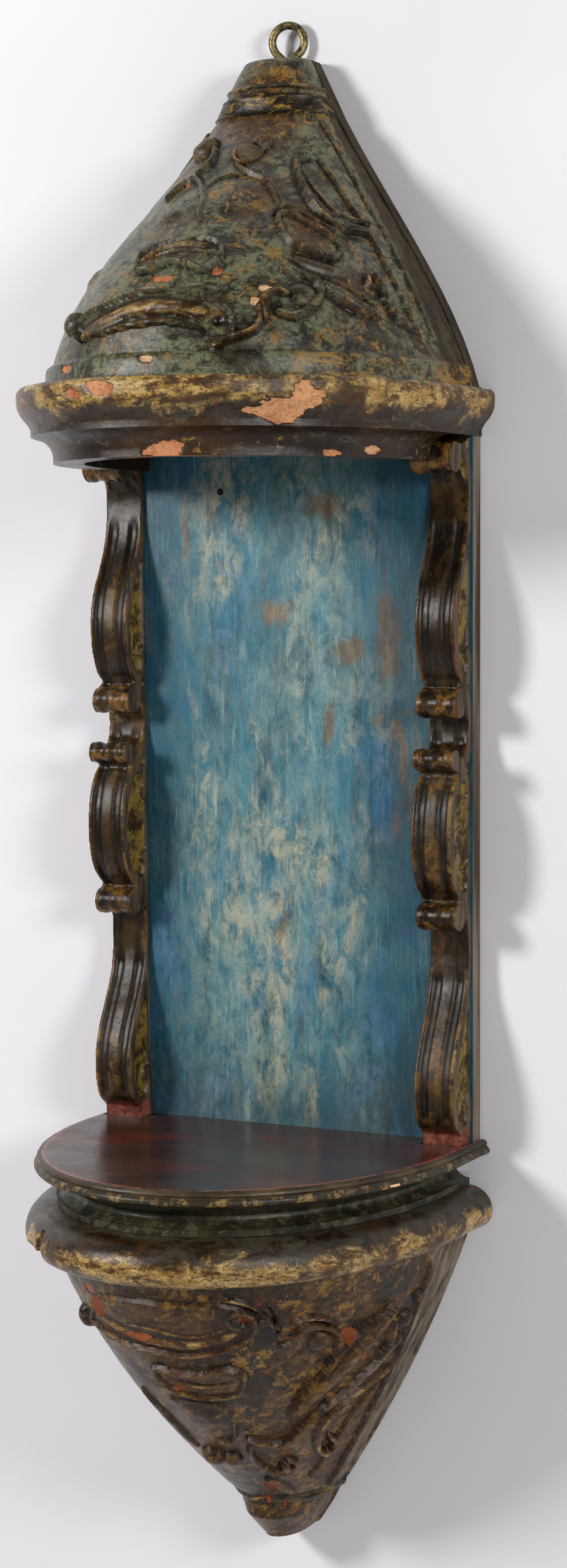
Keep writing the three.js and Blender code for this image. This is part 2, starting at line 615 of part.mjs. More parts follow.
// One pilaster: a sunk web, with a strap along its front that is fluted and follows the scrolls
function pilaster(side) {
  const half = PILASTER_WIDTH / 2;
  const back = -BOARD_THICKNESS - JOINT_GAP;
  const flutes = [[-1, 0], [-0.72, 0], [-0.45, 1], [0, 0], [0.45, 1], [0.72, 0], [1, 0]];
  const rows = pilasterHeights().map((z) => {
    const onBlock = z <= BASE_BLOCK_HEIGHT;
    const reach = pilasterReach(Math.max(z, BASE_BLOCK_HEIGHT));
    const strap = Math.min(-reach + STRAP_WIDTH, back - 0.2);
    const web = half - (onBlock ? 0 : WEB_RECESS);
    const front = flutes.map(([share, sunk]) => [share * half, -reach + sunk * FLUTE_DEPTH]);
    const left = [[-web, back], [-web, strap], [-half, strap - 0.1]];
    const right = left.map(([x, y]) => [-x, y]).reverse();
    return [...left, ...front, ...right].map(([x, y]) => new THREE.Vector3(x, y, z)).reverse();
  });
  const centre = side * (BOARD_HALF_WIDTH - half);
  const straps = loft(rows.map((row) => row.map((point) => point.clone().setX(point.x + centre))));
  return PILASTER_EYES.reduce((whole, eye) => whole.add(scrollEye(eye, centre)), straps);
}

// A short roll across the pilaster at the eye of a scroll
function scrollEye({ at, radius, reach }, centre) {
  const size = radius * PILASTER_REACH;
  const roll = new THREE.CylinderGeometry(size, size, PILASTER_WIDTH, 10).rotateZ(Math.PI / 2);
  return solidFrom(roll.translate(centre, -reach * PILASTER_REACH, at * NICHE_HEIGHT));
}

// Hanging eye: a ring of wire on a shank in the board's top edge, turned a little towards the right
function eyePlace() {
  const lift = EYE_WIRE_RADIUS + JOINT_GAP;
  return { x: EYE_OFF_CENTRE, y: -BOARD_THICKNESS / 2, z: CAP_TOP + EYE_RADIUS + lift };
}

function hangingEye() {
  const place = eyePlace();
  const ring = new THREE.TorusGeometry(EYE_RADIUS, EYE_WIRE_RADIUS, 8, 16);
  ring.rotateX(Math.PI / 2).rotateZ(EYE_TURN).translate(place.x, place.y, place.z);
  const shank = new THREE.CylinderGeometry(EYE_WIRE_RADIUS, EYE_WIRE_RADIUS * 0.6, EYE_SHANK, 8);
  shank.rotateX(Math.PI / 2).translate(place.x, place.y, place.z - EYE_RADIUS - EYE_SHANK / 2);
  return solidFrom(ring).add(solidFrom(shank));
}

// The hole for the shank in the board's top edge
function eyeSocket() {
  const place = eyePlace();
  const radius = EYE_WIRE_RADIUS + JOINT_GAP;
  const depth = EYE_SHANK + 1;
  const hole = new THREE.CylinderGeometry(radius, radius, depth, 8);
  hole.rotateX(Math.PI / 2).translate(place.x, place.y, place.z - EYE_RADIUS - depth / 2);
  return solidFrom(hole);
}

const bracket = new THREE.Group();
bracket.add(piece("back_board", backBoard(), 0x3f7f93, 0.6, 0));
bracket.add(piece("canopy", canopy(), 0x3d3a2c, 0.45, 0.1));
bracket.add(piece("pilaster_left", pilaster(-1), 0x4a3c20, 0.4, 0.1));
bracket.add(piece("pilaster_right", pilaster(1), 0x4a3c20, 0.4, 0.1));
bracket.add(piece("shelf", shelf(), 0x3b1f1a, 0.3, 0));
bracket.add(piece("corbel", corbel(), 0x33281b, 0.45, 0.1));
bracket.add(piece("hanging_eye", hangingEye(), 0x6f6340, 0.45, 0.8));
bracket.position.z = -WALL_POINT_HEIGHT;

export default bracket;
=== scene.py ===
import math

import bmesh
import bpy
import numpy as np
from mathutils import Matrix, Vector


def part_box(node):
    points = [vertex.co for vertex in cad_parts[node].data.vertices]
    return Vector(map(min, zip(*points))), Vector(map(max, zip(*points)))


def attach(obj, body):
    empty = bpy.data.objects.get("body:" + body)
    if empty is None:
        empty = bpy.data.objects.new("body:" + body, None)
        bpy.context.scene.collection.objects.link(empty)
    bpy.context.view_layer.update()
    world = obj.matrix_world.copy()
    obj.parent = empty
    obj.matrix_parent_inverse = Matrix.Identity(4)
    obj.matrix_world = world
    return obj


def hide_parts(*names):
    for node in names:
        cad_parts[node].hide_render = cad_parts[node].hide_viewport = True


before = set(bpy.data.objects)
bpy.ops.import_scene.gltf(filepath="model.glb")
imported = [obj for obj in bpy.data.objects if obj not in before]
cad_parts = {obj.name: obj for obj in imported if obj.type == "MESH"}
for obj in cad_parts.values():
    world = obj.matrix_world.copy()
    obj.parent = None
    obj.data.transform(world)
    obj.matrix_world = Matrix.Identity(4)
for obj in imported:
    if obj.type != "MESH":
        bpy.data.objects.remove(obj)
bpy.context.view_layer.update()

# Sizes below are in millimetres and heights are measured from the shelf's top.
MM = 0.001
SHELF_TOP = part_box("shelf")[1][2] / MM

# Sizes shared with the frame
BOARD_HALF_WIDTH, BOARD_FRONT = 135.0, -12.3
JOINT_GAP, HOUSING_DEPTH = 0.3, 3.0
STRAIGHT_SIDE = 45.0
SHELF_HALF_WIDTH, SHELF_DEPTH, RING_DEPTH = 142.0, 230.0, 221.0
RIM_HEIGHT, RIM_BEAD, RIM_SET_BACK = 10.0, 2.8, 5.0
NECK_HEIGHT, NECK_RECESS = 16.5, 24.0
NECK_FILLET_HEIGHT, NECK_FILLET_RECESS = 4.5, 14.5
TORUS_HEIGHT, TORUS_HALF_WIDTH, TORUS_DEPTH = 30.0, 144.0, 244.0
CORBEL_SIDE_RECESS = 16.5
CORBEL_TOP_HALF_WIDTH, CORBEL_TOP_DEPTH, CORBEL_DROP = 127.5, 222.0, 186.0
CORBEL_TIP_HALF_WIDTH, CORBEL_TIP_DEPTH = 35.0, 61.0
TIP_HEIGHT, TIP_END_HALF_WIDTH, TIP_END_DEPTH, TIP_RIDGE = 32.0, 16.0, 44.0, 4.0
NICHE_HEIGHT = 441.0
CAVETTO_HEIGHT, CAVETTO_REACH, FILLET_HEIGHT = 16.5, 13.0, 4.5
RING_HEIGHT, RING_BULGE = 25.0, 10.0
PLINTH_HEIGHT, PLINTH_REACH = 16.0, 7.0
CONE_HALF_WIDTH, CONE_DEPTH, CONE_HEIGHT = 130.0, 192.0, 159.0
CONE_TOP_HALF_WIDTH, CONE_TOP_DEPTH = 41.5, 48.0
CONE_SWELL_WIDE, CONE_SWELL_DEEP, CAP_SWEEP = 0.375, 1.1, 2.2
CORBEL_HOLLOW_WIDE, CORBEL_HOLLOW_DEEP = 0.28, 0.5
BAND_HEIGHT, BAND_PROUD = 12.5, 1.5
GROOVE_HEIGHT, BEAD_HEIGHT, CAP_HEIGHT = 4.0, 4.0, 18.0
CAP_HALF_WIDTH, CAP_DEPTH = 22.5, 30.0
HOLLOW_WALL, HOLLOW_HEIGHT = 20.0, 45.0
PILASTER_WIDTH, PILASTER_REACH, PILASTER_FOOT_REACH = 30.0, 49.0, 29.9
EYE_RADIUS, EYE_WIRE, EYE_TURN = 10.8, 2.6, math.radians(20)
EYE_OFF_CENTRE, EYE_BOARD_MIDDLE = 2.5, 6.0
EYE_HALF_OPENING, EYE_LEG = math.radians(34), 14.0

# Profiles: [share of the height, share of the reach]
RING_PROFILE = [(0, 0.1), (0.14, 0.32), (0.34, 0.74), (0.55, 0.97), (0.75, 1.0), (0.9, 0.97), (1, 0.75)]
PLINTH_PROFILE = [(0, 1), (0.14, 0.74), (0.45, 0.62), (0.85, 0.55), (0.97, 0.3)]
NECK_PROFILE = [(0, 0.7), (0.12, 0.86), (0.24, 0.97), (0.38, 1.0), (0.52, 0.88), (0.65, 0.72),
                (0.78, 0.5), (0.88, 0.3), (0.95, 0.18), (1.0, 0.1)]

# Levels that follow
NECK_BOTTOM = -RIM_HEIGHT - NECK_HEIGHT - NECK_FILLET_HEIGHT
CORBEL_TOP = NECK_BOTTOM - TORUS_HEIGHT
CORBEL_RIDGE = CORBEL_TOP - CORBEL_DROP
RING_BOTTOM = NICHE_HEIGHT + CAVETTO_HEIGHT + FILLET_HEIGHT
RING_TOP = RING_BOTTOM + RING_HEIGHT
CONE_BASE = RING_TOP + PLINTH_HEIGHT
CONE_TOP = CONE_BASE + CONE_HEIGHT
BAND_TOP = CONE_TOP + BAND_HEIGHT
CAP_BASE = BAND_TOP + GROOVE_HEIGHT + BEAD_HEIGHT
CAP_TOP = CAP_BASE + CAP_HEIGHT
PILASTER_TOP = NICHE_HEIGHT + CAVETTO_HEIGHT - JOINT_GAP

# Mesh spacing, and the angle above which an edge stays sharp
ROW_STEP = 1.15
ARC_COLUMNS = 250
SIDE_COLUMNS = 16
SHARP_ANGLE = math.radians(38)
VOXEL = 1.1 * MM

# Unevenness of handwork: the sizes of dents and ripples, and how much deeper they are on a cone
DENT_SIZE, RIPPLE_SIZE = 30.0, 6.0
CONE_DENT, CONE_RIPPLE = 1.6, 0.3

# Zones of a turned front, kept as a mesh attribute for the materials
CAVETTO, FILLET, ROUND, FLARE, CONE, BAND, BEAD, CAP, TOP = range(9)


# Smooth lattice noise on arrays of points
def lattice(ix, iy, iz, seed):
    h = (ix * 374761393 + iy * 668265263 + iz * 1442695041 + seed * 974711) & 0xFFFFFFFF
    h = ((h ^ (h >> 13)) * 1274126177) & 0xFFFFFFFF
    return ((h ^ (h >> 16)) & 0xFFFF) / 65535.0


def value_noise(points, size, seed):
    q = points / size
    base = np.floor(q).astype(np.int64)
    f = q - base
    f = f * f * (3 - 2 * f)
    total = 0
    for dx in (0, 1):
        for dy in (0, 1):
            for dz in (0, 1):
                weight = (f[..., 0] if dx else 1 - f[..., 0]) * (f[..., 1] if dy else 1 - f[..., 1])
                weight = weight * (f[..., 2] if dz else 1 - f[..., 2])
                corner = lattice(base[..., 0] + dx, base[..., 1] + dy, base[..., 2] + dz, seed)
                total = total + weight * corner
    return total


def fractal_noise(points, size, seed, octaves=3):
    total, weight = 0, 0
    for octave in range(octaves):
        share = 0.5 ** octave
        total = total + share * value_noise(points, size * share, seed + 17 * octave)
        weight += share
    return total / weight


def smooth_step(low, high, x):
    t = np.clip((x - low) / (high - low), 0, 1)
    return t * t * (3 - 2 * t)


# The turned fronts: a level is [height, half width, depth, straight side, zone]
def lerp(a, b, share):
    return a + (b - a) * share


def moulding(z, half_width, full_half_width, full_depth, zone):
    return [z, half_width, full_depth - (full_half_width - half_width), STRAIGHT_SIDE, zone]


def cone_level(z, zone=CONE):
    t = (CONE_TOP - z) / CONE_HEIGHT
    swell = t * t * (1 - t)
    half = lerp(CONE_TOP_HALF_WIDTH, CONE_HALF_WIDTH, t + CONE_SWELL_WIDE * swell)
    depth = lerp(CONE_TOP_DEPTH, CONE_DEPTH, t + CONE_SWELL_DEEP * swell)
    return [z, half, depth, STRAIGHT_SIDE * lerp(0.5, 0.95, t), zone]


def cap_level(z, proud, zone):
    t = (z - CONE_TOP) / (CAP_TOP - CONE_TOP)
    half = lerp(CONE_TOP_HALF_WIDTH, CAP_HALF_WIDTH, t) + proud
    depth = lerp(CONE_TOP_DEPTH, CAP_DEPTH, t ** CAP_SWEEP) + proud
    return [z, half, depth, STRAIGHT_SIDE * lerp(0.5, 0.35, t), zone]


def corbel_level(z, zone=CONE):
    t = (CORBEL_TOP - z) / CORBEL_DROP
    swell = t * (1 - t)
    half = lerp(CORBEL_TOP_HALF_WIDTH, CORBEL_TIP_HALF_WIDTH, t - CORBEL_HOLLOW_WIDE * swell)
    depth = lerp(CORBEL_TOP_DEPTH, CORBEL_TIP_DEPTH, t - CORBEL_HOLLOW_DEEP * swell)
    return [z, half, depth, STRAIGHT_SIDE * (1 - 0.6 * t), zone]


def arc(centre_z, centre_half, rise, reach, start, stop, level, zone, steps=24):
    angles = np.radians(np.linspace(start, stop, steps))
    return [level(centre_z + rise * math.sin(a), centre_half + reach * math.cos(a), zone) for a in angles]


def resample(segments):
    levels = []
    for segment in segments:
        segment = np.array(segment, float)
        steps = np.hypot(np.diff(segment[:, 0]), np.diff(segment[:, 2]))
        length = np.concatenate([[0], np.cumsum(steps)])
        count = max(2, int(math.ceil(length[-1] / ROW_STEP)) + 1)
        at = np.linspace(0, length[-1], count)
        rows = np.stack([np.interp(at, length, segment[:, i]) for i in range(5)], 1)
        levels.append(rows if not levels else rows[1:])
    return np.vstack(levels)


def plan_point(level, angle):
    z, half, depth, straight = level[:4]
    return np.array([half * math.cos(angle), -straight - (depth - straight) * math.sin(angle), z])


def front_rows(levels):
    """Points of each level's front, from the right side round to the left, and their angles."""
    side = np.linspace(0, 1, SIDE_COLUMNS, endpoint=False)
    angles = np.radians(np.linspace(0, 180, ARC_COLUMNS))
    z, half, depth, straight = (levels[:, i:i + 1] for i in range(4))
    right_y = 0 - straight * side
    left_y = right_y[:, ::-1]
    x = np.hstack([half + 0 * right_y, half * np.cos(angles), -half + 0 * left_y])
    y = np.hstack([right_y, -straight - (depth - straight) * np.sin(angles), left_y])
    points = np.stack([x, y, z + 0 * x], 2)
    around = np.degrees(np.concatenate([0 * side, angles, math.pi + 0 * side]))
    return points, around


def grid_normals(points):
    along = np.gradient(points, axis=1)
    upward = np.gradient(points, axis=0)
    normal = np.cross(upward, along)
    return normal / np.maximum(np.linalg.norm(normal, axis=2, keepdims=True), 1e-9)


# Carving: strokes are smooth lines over a cone, given as [degrees round the plan, height]
def spline(points, steps=7):
    p = np.array(points, float)
    p = np.vstack([2 * p[0] - p[1], p, 2 * p[-1] - p[-2]])
    out = []
    for i in range(1, len(p) - 2):
        for t in np.linspace(0, 1, steps, endpoint=False):
            a = 2 * p[i]
            b = p[i + 1] - p[i - 1]
            c = 2 * p[i - 1] - 5 * p[i] + 4 * p[i + 1] - p[i + 2]
            d = -p[i - 1] + 3 * p[i] - 3 * p[i + 1] + p[i + 2]
            out.append(0.5 * (a + b * t + c * t * t + d * t ** 3))
    out.append(p[-2])
    return np.array(out)


def on_body(body, line):
    return np.array([plan_point(body(z), math.radians(u)) for u, z in line])


def line_distance(points, line, outward):
    """Distance to a line, signed to its left seen from outside, and the share along it, 0 to 1."""
    best = np.full(len(points), 1e9)
    where = np.zeros(len(points))
    side = np.ones(len(points))
    lengths = np.linalg.norm(np.diff(line, axis=0), axis=1)
    run = np.concatenate([[0], np.cumsum(lengths)])
    for i in range(len(line) - 1):
        a, ab = line[i], line[i + 1] - line[i]
        off = points - a
        t = np.clip((off @ ab) / max(ab @ ab, 1e-9), 0, 1)
        away = np.linalg.norm(off - t[:, None] * ab, axis=1)
        closer = away < best
        best = np.where(closer, away, best)
        where = np.where(closer, (run[i] + t * lengths[i]) / run[-1], where)
        turn = np.einsum("ij,ij->i", np.cross(ab, off), outward)
        side = np.where(closer, np.sign(turn), side)
    return best, where, side


def soft_top(a, b, soft):
    """The higher of two heights, rounded where they meet."""
    share = np.clip(0.5 + (b - a) / (2 * soft), 0, 1)
    return a + (b - a) * share + soft * share * (1 - share)


# Ridges are this share of the height they are given
RELIEF_SHARE = 0.95


class Relief:
    """Height and paint masks over the points of a cone."""

    def __init__(self, points, around, body):
        self.points = points
        self.around = around
        self.body = body
        outward = points * np.array([1.0, 1.0, 0.0]) + np.array([0.0, STRAIGHT_SIDE, 0.0])
        self.outward = outward / np.maximum(np.linalg.norm(outward, axis=1, keepdims=True), 1e-6)
        self.height = np.zeros(len(points))
        self.gold = np.zeros(len(points))
        self.bole = np.zeros(len(points))
        # Mask of painted shade with grime in the hollows round the carving
        self.crease_shade_and_grime = np.zeros(len(points))

    def near(self, line, reach):
        low, high = line.min(0) - reach, line.max(0) + reach
        return np.nonzero(((self.points > low) & (self.points < high)).all(1))[0]

    def plate(self, outline, height, soft=1.6, gild=0.0):
        """A raised area with a crisp edge."""
        closed = spline(list(outline) + [outline[0]], 4)
        path = on_body(self.body, closed)
        some = self.near(path, 4 * soft + 6)
        away, _, _ = line_distance(self.points[some], path, self.outward[some])
        u, z = self.around[some], self.points[some, 2]
        inside = np.zeros(len(some), bool)
        for (u0, z0), (u1, z1) in zip(closed[:-1], closed[1:]):
            crosses = (z0 > z) != (z1 > z)
            at = u0 + (z - z0) * (u1 - u0) / (z1 - z0 if z1 != z0 else 1e-9)
            inside ^= crosses & (u < at)
        signed = np.where(inside, away, -away)
        raised = height * smooth_step(-soft, soft, signed)
        self.height[some] = soft_top(self.height[some], raised, 0.3)
        within = smooth_step(-soft, soft, signed)
        self.gold[some] = np.maximum(self.gold[some] * (1 - within), gild * within)
        # Painted shade with grime: a dark band in the hollow just outside the plate's edge
        ditch = smooth_step(-3.0, -soft, signed) * (signed < -soft * 0.6)
        self.crease_shade_and_grime[some] = np.maximum(self.crease_shade_and_grime[some] * (1 - within), ditch)

    def stroke(self, line, width, height, gild=1.0, thin=0.45, reach=1.0, other=1.0, fluted=0):
        """A ridge along a line; reach and other are how far its two sides fall away, in widths."""
        path = on_body(self.body, spline(line))
        some = self.near(path, width * max(reach, other, 1.2) + 4)
        away, share, side = line_distance(self.points[some], path, self.outward[some])
        taper = thin + (1 - thin) * np.sqrt(np.clip(np.sin(np.pi * share), 0, 1))
        r = away / (width * taper)
        fall = np.where(side > 0, max(reach, 1.5), max(other, 1.5))
        crest = np.sqrt(np.clip(1 - (r / 1.05) ** 2, 0, 1))
        slope = 0.8 * np.clip(1 - r / np.maximum(fall, 1.01), 0, 1) ** 1.4 * (fall > 1)
        shape = np.maximum(crest, slope)
        if fluted:
            wave = 0.5 + 0.5 * np.cos(2 * np.pi * fluted * r)
            shape = smooth_step(1.1, 0.85, r) * (0.66 + 0.34 * wave)
        raised = RELIEF_SHARE * height * (0.55 + 0.45 * taper) * shape
        higher = raised > self.height[some]
        top = gild * smooth_step(0.45, 0.95, shape) * (r < 1.1)
        self.gold[some] = np.where(higher, np.maximum(top, 0.5 * self.gold[some]), self.gold[some])
        flank = gild * smooth_step(0.72, 0.95, r) * smooth_step(1.3, 1.02, r)
        self.bole[some] = np.maximum(self.bole[some] * ~higher, flank)
        # Painted shade with grime: a dark band in the hollows along both sides of the ridge
        ditch = smooth_step(2.1, 1.2, r) * smooth_step(0.85, 1.05, r)
        self.crease_shade_and_grime[some] = np.maximum(self.crease_shade_and_grime[some] * ~higher, ditch)
        self.height[some] = soft_top(self.height[some], raised, 0.35)

    def knob(self, place, radius, height, gild=0.4):
        centre = on_body(self.body, [place])[0]
        some = self.near(centre[None], radius * 1.6)
        away = np.linalg.norm(self.points[some] - centre, axis=1)
        r = away / radius
        raised = height * np.clip(1 - (r / 1.03) ** 2, 0, 1) ** 0.42
        higher = raised > self.height[some]
        self.gold[some] = np.where(higher, gild * smooth_step(0.35, 0.8, raised / height), self.gold[some])
        # Painted shade with grime: a dark ring in the hollow round the knob
        ditch = smooth_step(1.5, 1.0, r) * (r > 1.0)
        self.crease_shade_and_grime[some] = np.maximum(self.crease_shade_and_grime[some] * ~higher, ditch)
        self.height[some] = soft_top(self.height[some], raised, 0.3)

    def pit(self, place, radius, depth):
        centre = on_body(self.body, [place])[0]
        some = self.near(centre[None], radius * 2)
        away = np.linalg.norm(self.points[some] - centre, axis=1)
        hole = smooth_step(radius * 1.2, radius * 0.5, away)
        self.height[some] -= depth * hole
        # Painted shade with grime: the pit is darkened
        self.crease_shade_and_grime[some] = np.maximum(self.crease_shade_and_grime[some], hole)
        self.gold[some] *= 1 - hole
        self.bole[some] *= 1 - hole

    def boss(self, place, wide, tall, height):
        centre = on_body(self.body, [place])[0]
        some = self.near(centre[None], 1.4 * max(wide, tall))
        offset = self.points[some] - centre
        across = np.linalg.norm(offset[:, :2], axis=1)
        r = np.sqrt((across / wide) ** 2 + (offset[:, 2] / tall) ** 2)
        self.height[some] = np.maximum(self.height[some], height * smooth_step(1.15, 0.35, r))


# The canopy's carving, as [degrees, height]
CRESCENT_RIM = [(116, 514), (120, 519), (118, 524), (114, 528), (108, 532), (101, 536), (94, 539), (86, 539),
                (79, 538), (72, 533), (68, 528), (66, 521), (66, 515), (68, 509), (72, 509), (72, 514)]
CRESCENT_LIP = [(76, 517), (82, 520), (88, 521), (93, 520), (99, 519), (106, 516)]
C_SCROLL = [(101, 554), (103, 562), (101, 566), (95, 570), (88, 572), (80, 572), (74, 569), (72, 563),
            (74, 556), (77, 552), (82, 556), (88, 558), (91, 557), (95, 554)]
EAR = [(52, 590), (55, 588), (54, 582), (52, 576), (49, 570), (44, 566), (40, 563), (35, 562),
       (32, 566), (33, 572), (39, 580), (44, 584), (48, 588)]


def carve_canopy(points, around):
    relief = Relief(points, around, cone_level)
    relief.boss((84, 604), 34, 22, 2.5)
    relief.boss((104, 596), 14, 22, 2.0)
    relief.plate(CRESCENT_RIM + CRESCENT_LIP, 3.0, 1.3, 0.2)
    relief.stroke([(114, 515), (108, 521), (99, 527), (92, 530), (86, 530), (80, 528), (74, 526)],
                  4.6, 5.4, 1.0, 0.6, 1.0, 1.2)
    relief.stroke([(98, 523), (92, 525), (85, 526), (79, 524), (75, 520)], 1.3, 6.2, 0.8)
    relief.stroke(CRESCENT_LIP[::-1], 1.8, 4.4, 0.15)
    relief.stroke(CRESCENT_RIM, 1.9, 7.0, 0.4, 0.75, 1.0, 1.3)
    relief.pit((116, 519), 3.6, 3.0)
    relief.pit((70, 520), 3.4, 3.0)
    relief.plate(C_SCROLL, 2.6, 1.2, 0.35)
    relief.stroke([(101, 560), (97, 565), (92, 568), (84, 569), (77, 567)], 3.0, 4.8, 0.7, 0.6)
    relief.stroke([(97, 561), (92, 564), (86, 565), (81, 565), (76, 562)], 1.3, 4.6, 0.8)
    relief.stroke(C_SCROLL + [C_SCROLL[0]], 1.9, 5.6, 0.35, 0.9, 1.0, 1.4)
    relief.stroke([(119, 606), (116, 614), (110, 618), (104, 617), (97, 611), (91, 602), (89, 593),
                   (86, 586)],
                  2.0, 4.0, 0.5, 0.5, 2.4, 1.0)
    relief.stroke([(114, 643), (106, 635), (104, 627), (109, 621)], 2.6, 4.5, 0.3, 0.5, 1.0, 1.8)
    relief.stroke([(95, 603), (93, 609), (90, 614), (85, 617), (77, 618)], 1.7, 3.6, 0.6, 0.5, 1.0, 2.6)
    relief.stroke([(88, 632), (84, 626), (77, 621), (66, 615), (59, 605), (55, 594)],
                  1.8, 4.2, 0.5, 0.6, 2.4, 1.0)
    relief.knob((82, 635), 10.5, 4.6, 0.15)
    relief.stroke([(89, 637), (88, 631), (84, 627), (78, 626)], 1.3, 5.4, 1.0)
    relief.knob((73, 641), 5.6, 6.4, 0.4)
    relief.pit((77, 639), 1.7, 2.5)
    relief.stroke([(42, 630), (46, 631), (49, 627), (48, 619), (45, 609), (40, 598), (34, 589), (27, 584),
                   (18, 582)],
                  3.4, 5.2, 0.2, 0.6)
    relief.stroke([(43, 632), (49, 630), (50, 623), (47, 612), (44, 604), (40, 594), (36, 588), (31, 582),
                   (26, 580), (19, 580)], 1.4, 6.2, 0.7, 0.7)
    relief.stroke([(46, 622), (45, 616), (42, 609), (37, 600), (33, 592), (27, 588), (21, 587), (16, 586)],
                  1.4, 6.2, 0.7, 0.7)
    relief.plate(EAR, 1.8, 1.2)
    relief.stroke(EAR + [EAR[0]], 1.9, 5.6, 0.5, 0.85, 1.0, 1.5)
    relief.stroke([(58, 590), (54, 594), (49, 592), (44, 588), (38, 583), (30, 577)], 1.7, 5.0, 0.4, 0.5)
    relief.stroke([(50, 562), (44, 558), (38, 555), (31, 552)], 4.4, 3.0, 0.5, 0.4, 1.0, 2.0)
    relief.stroke([(43, 546), (38, 541), (33, 535), (29, 530), (24, 526)], 5.0, 5.0, 0.35, 0.35, fluted=1.5)
    relief.stroke([(39, 549), (34, 543), (29, 538), (25, 533)], 2.0, 5.4, 0.4)
    relief.stroke([(20, 553), (20, 545), (19, 535), (17, 528), (13, 520)], 4.0, 4.6, 0.35, 0.35, fluted=1.0)
    relief.stroke([(22, 544), (25, 548), (24, 553)], 2.2, 3.6, 0.4)
    relief.knob((46, 537), 8.5, 5.0, 0.1)
    relief.stroke([(45, 549), (42, 545), (41, 539), (43, 532), (46, 527), (50, 524), (54, 526)],
                  2.6, 6.2, 0.5, 0.7)
    relief.stroke([(72, 505), (66, 511), (61, 515), (59, 521), (59, 529), (57, 536), (54, 539), (51, 537)],
                  2.2, 6.0, 0.8, 0.75, 1.0, 2.2)
    relief.pit((54, 531), 4.4, 4.5)
    relief.stroke([(34, 629), (28, 617), (22, 599), (17, 580), (14, 560), (12, 538), (11, 521), (11, 509)],
                  1.9, 3.2, 0.5, 0.9, 1.0, 1.8)
    relief.stroke([(22, 657), (13, 635), (9, 604), (6, 582), (5, 558), (4, 536), (3, 515)],
                  1.9, 2.4, 0.35, 0.9)
    relief.stroke([(176, 514), (174, 550), (170, 600), (158, 655)], 1.9, 2.2, 0.35, 0.9)
    relief.knob((122, 641), 9.8, 7.2, 0.35)
    relief.pit((127, 642), 3.8, 6.5)
    relief.knob((126, 526), 7.6, 6.2, 0.2)
    relief.pit((123, 529), 3.0, 5.0)
    relief.boss((137, 557), 8, 9, 2.2)
    return relief


# The corbel's carving, as [degrees, height]
FLUTED_SCROLL = [(113, -90), (115, -95), (112, -98), (108, -101), (103, -104), (98, -106), (92, -107),
                 (82, -109), (75, -108), (70, -106), (64, -102), (60, -96), (58, -88), (59, -81), (62, -78),
                 (65, -81), (65, -87), (62, -91)]
OVAL = [(95, -124), (95, -131), (92, -137), (87, -142), (80, -144), (73, -144), (67, -142), (64, -136),
        (63, -128), (66, -123), (71, -122), (77, -125), (83, -126), (89, -125)]


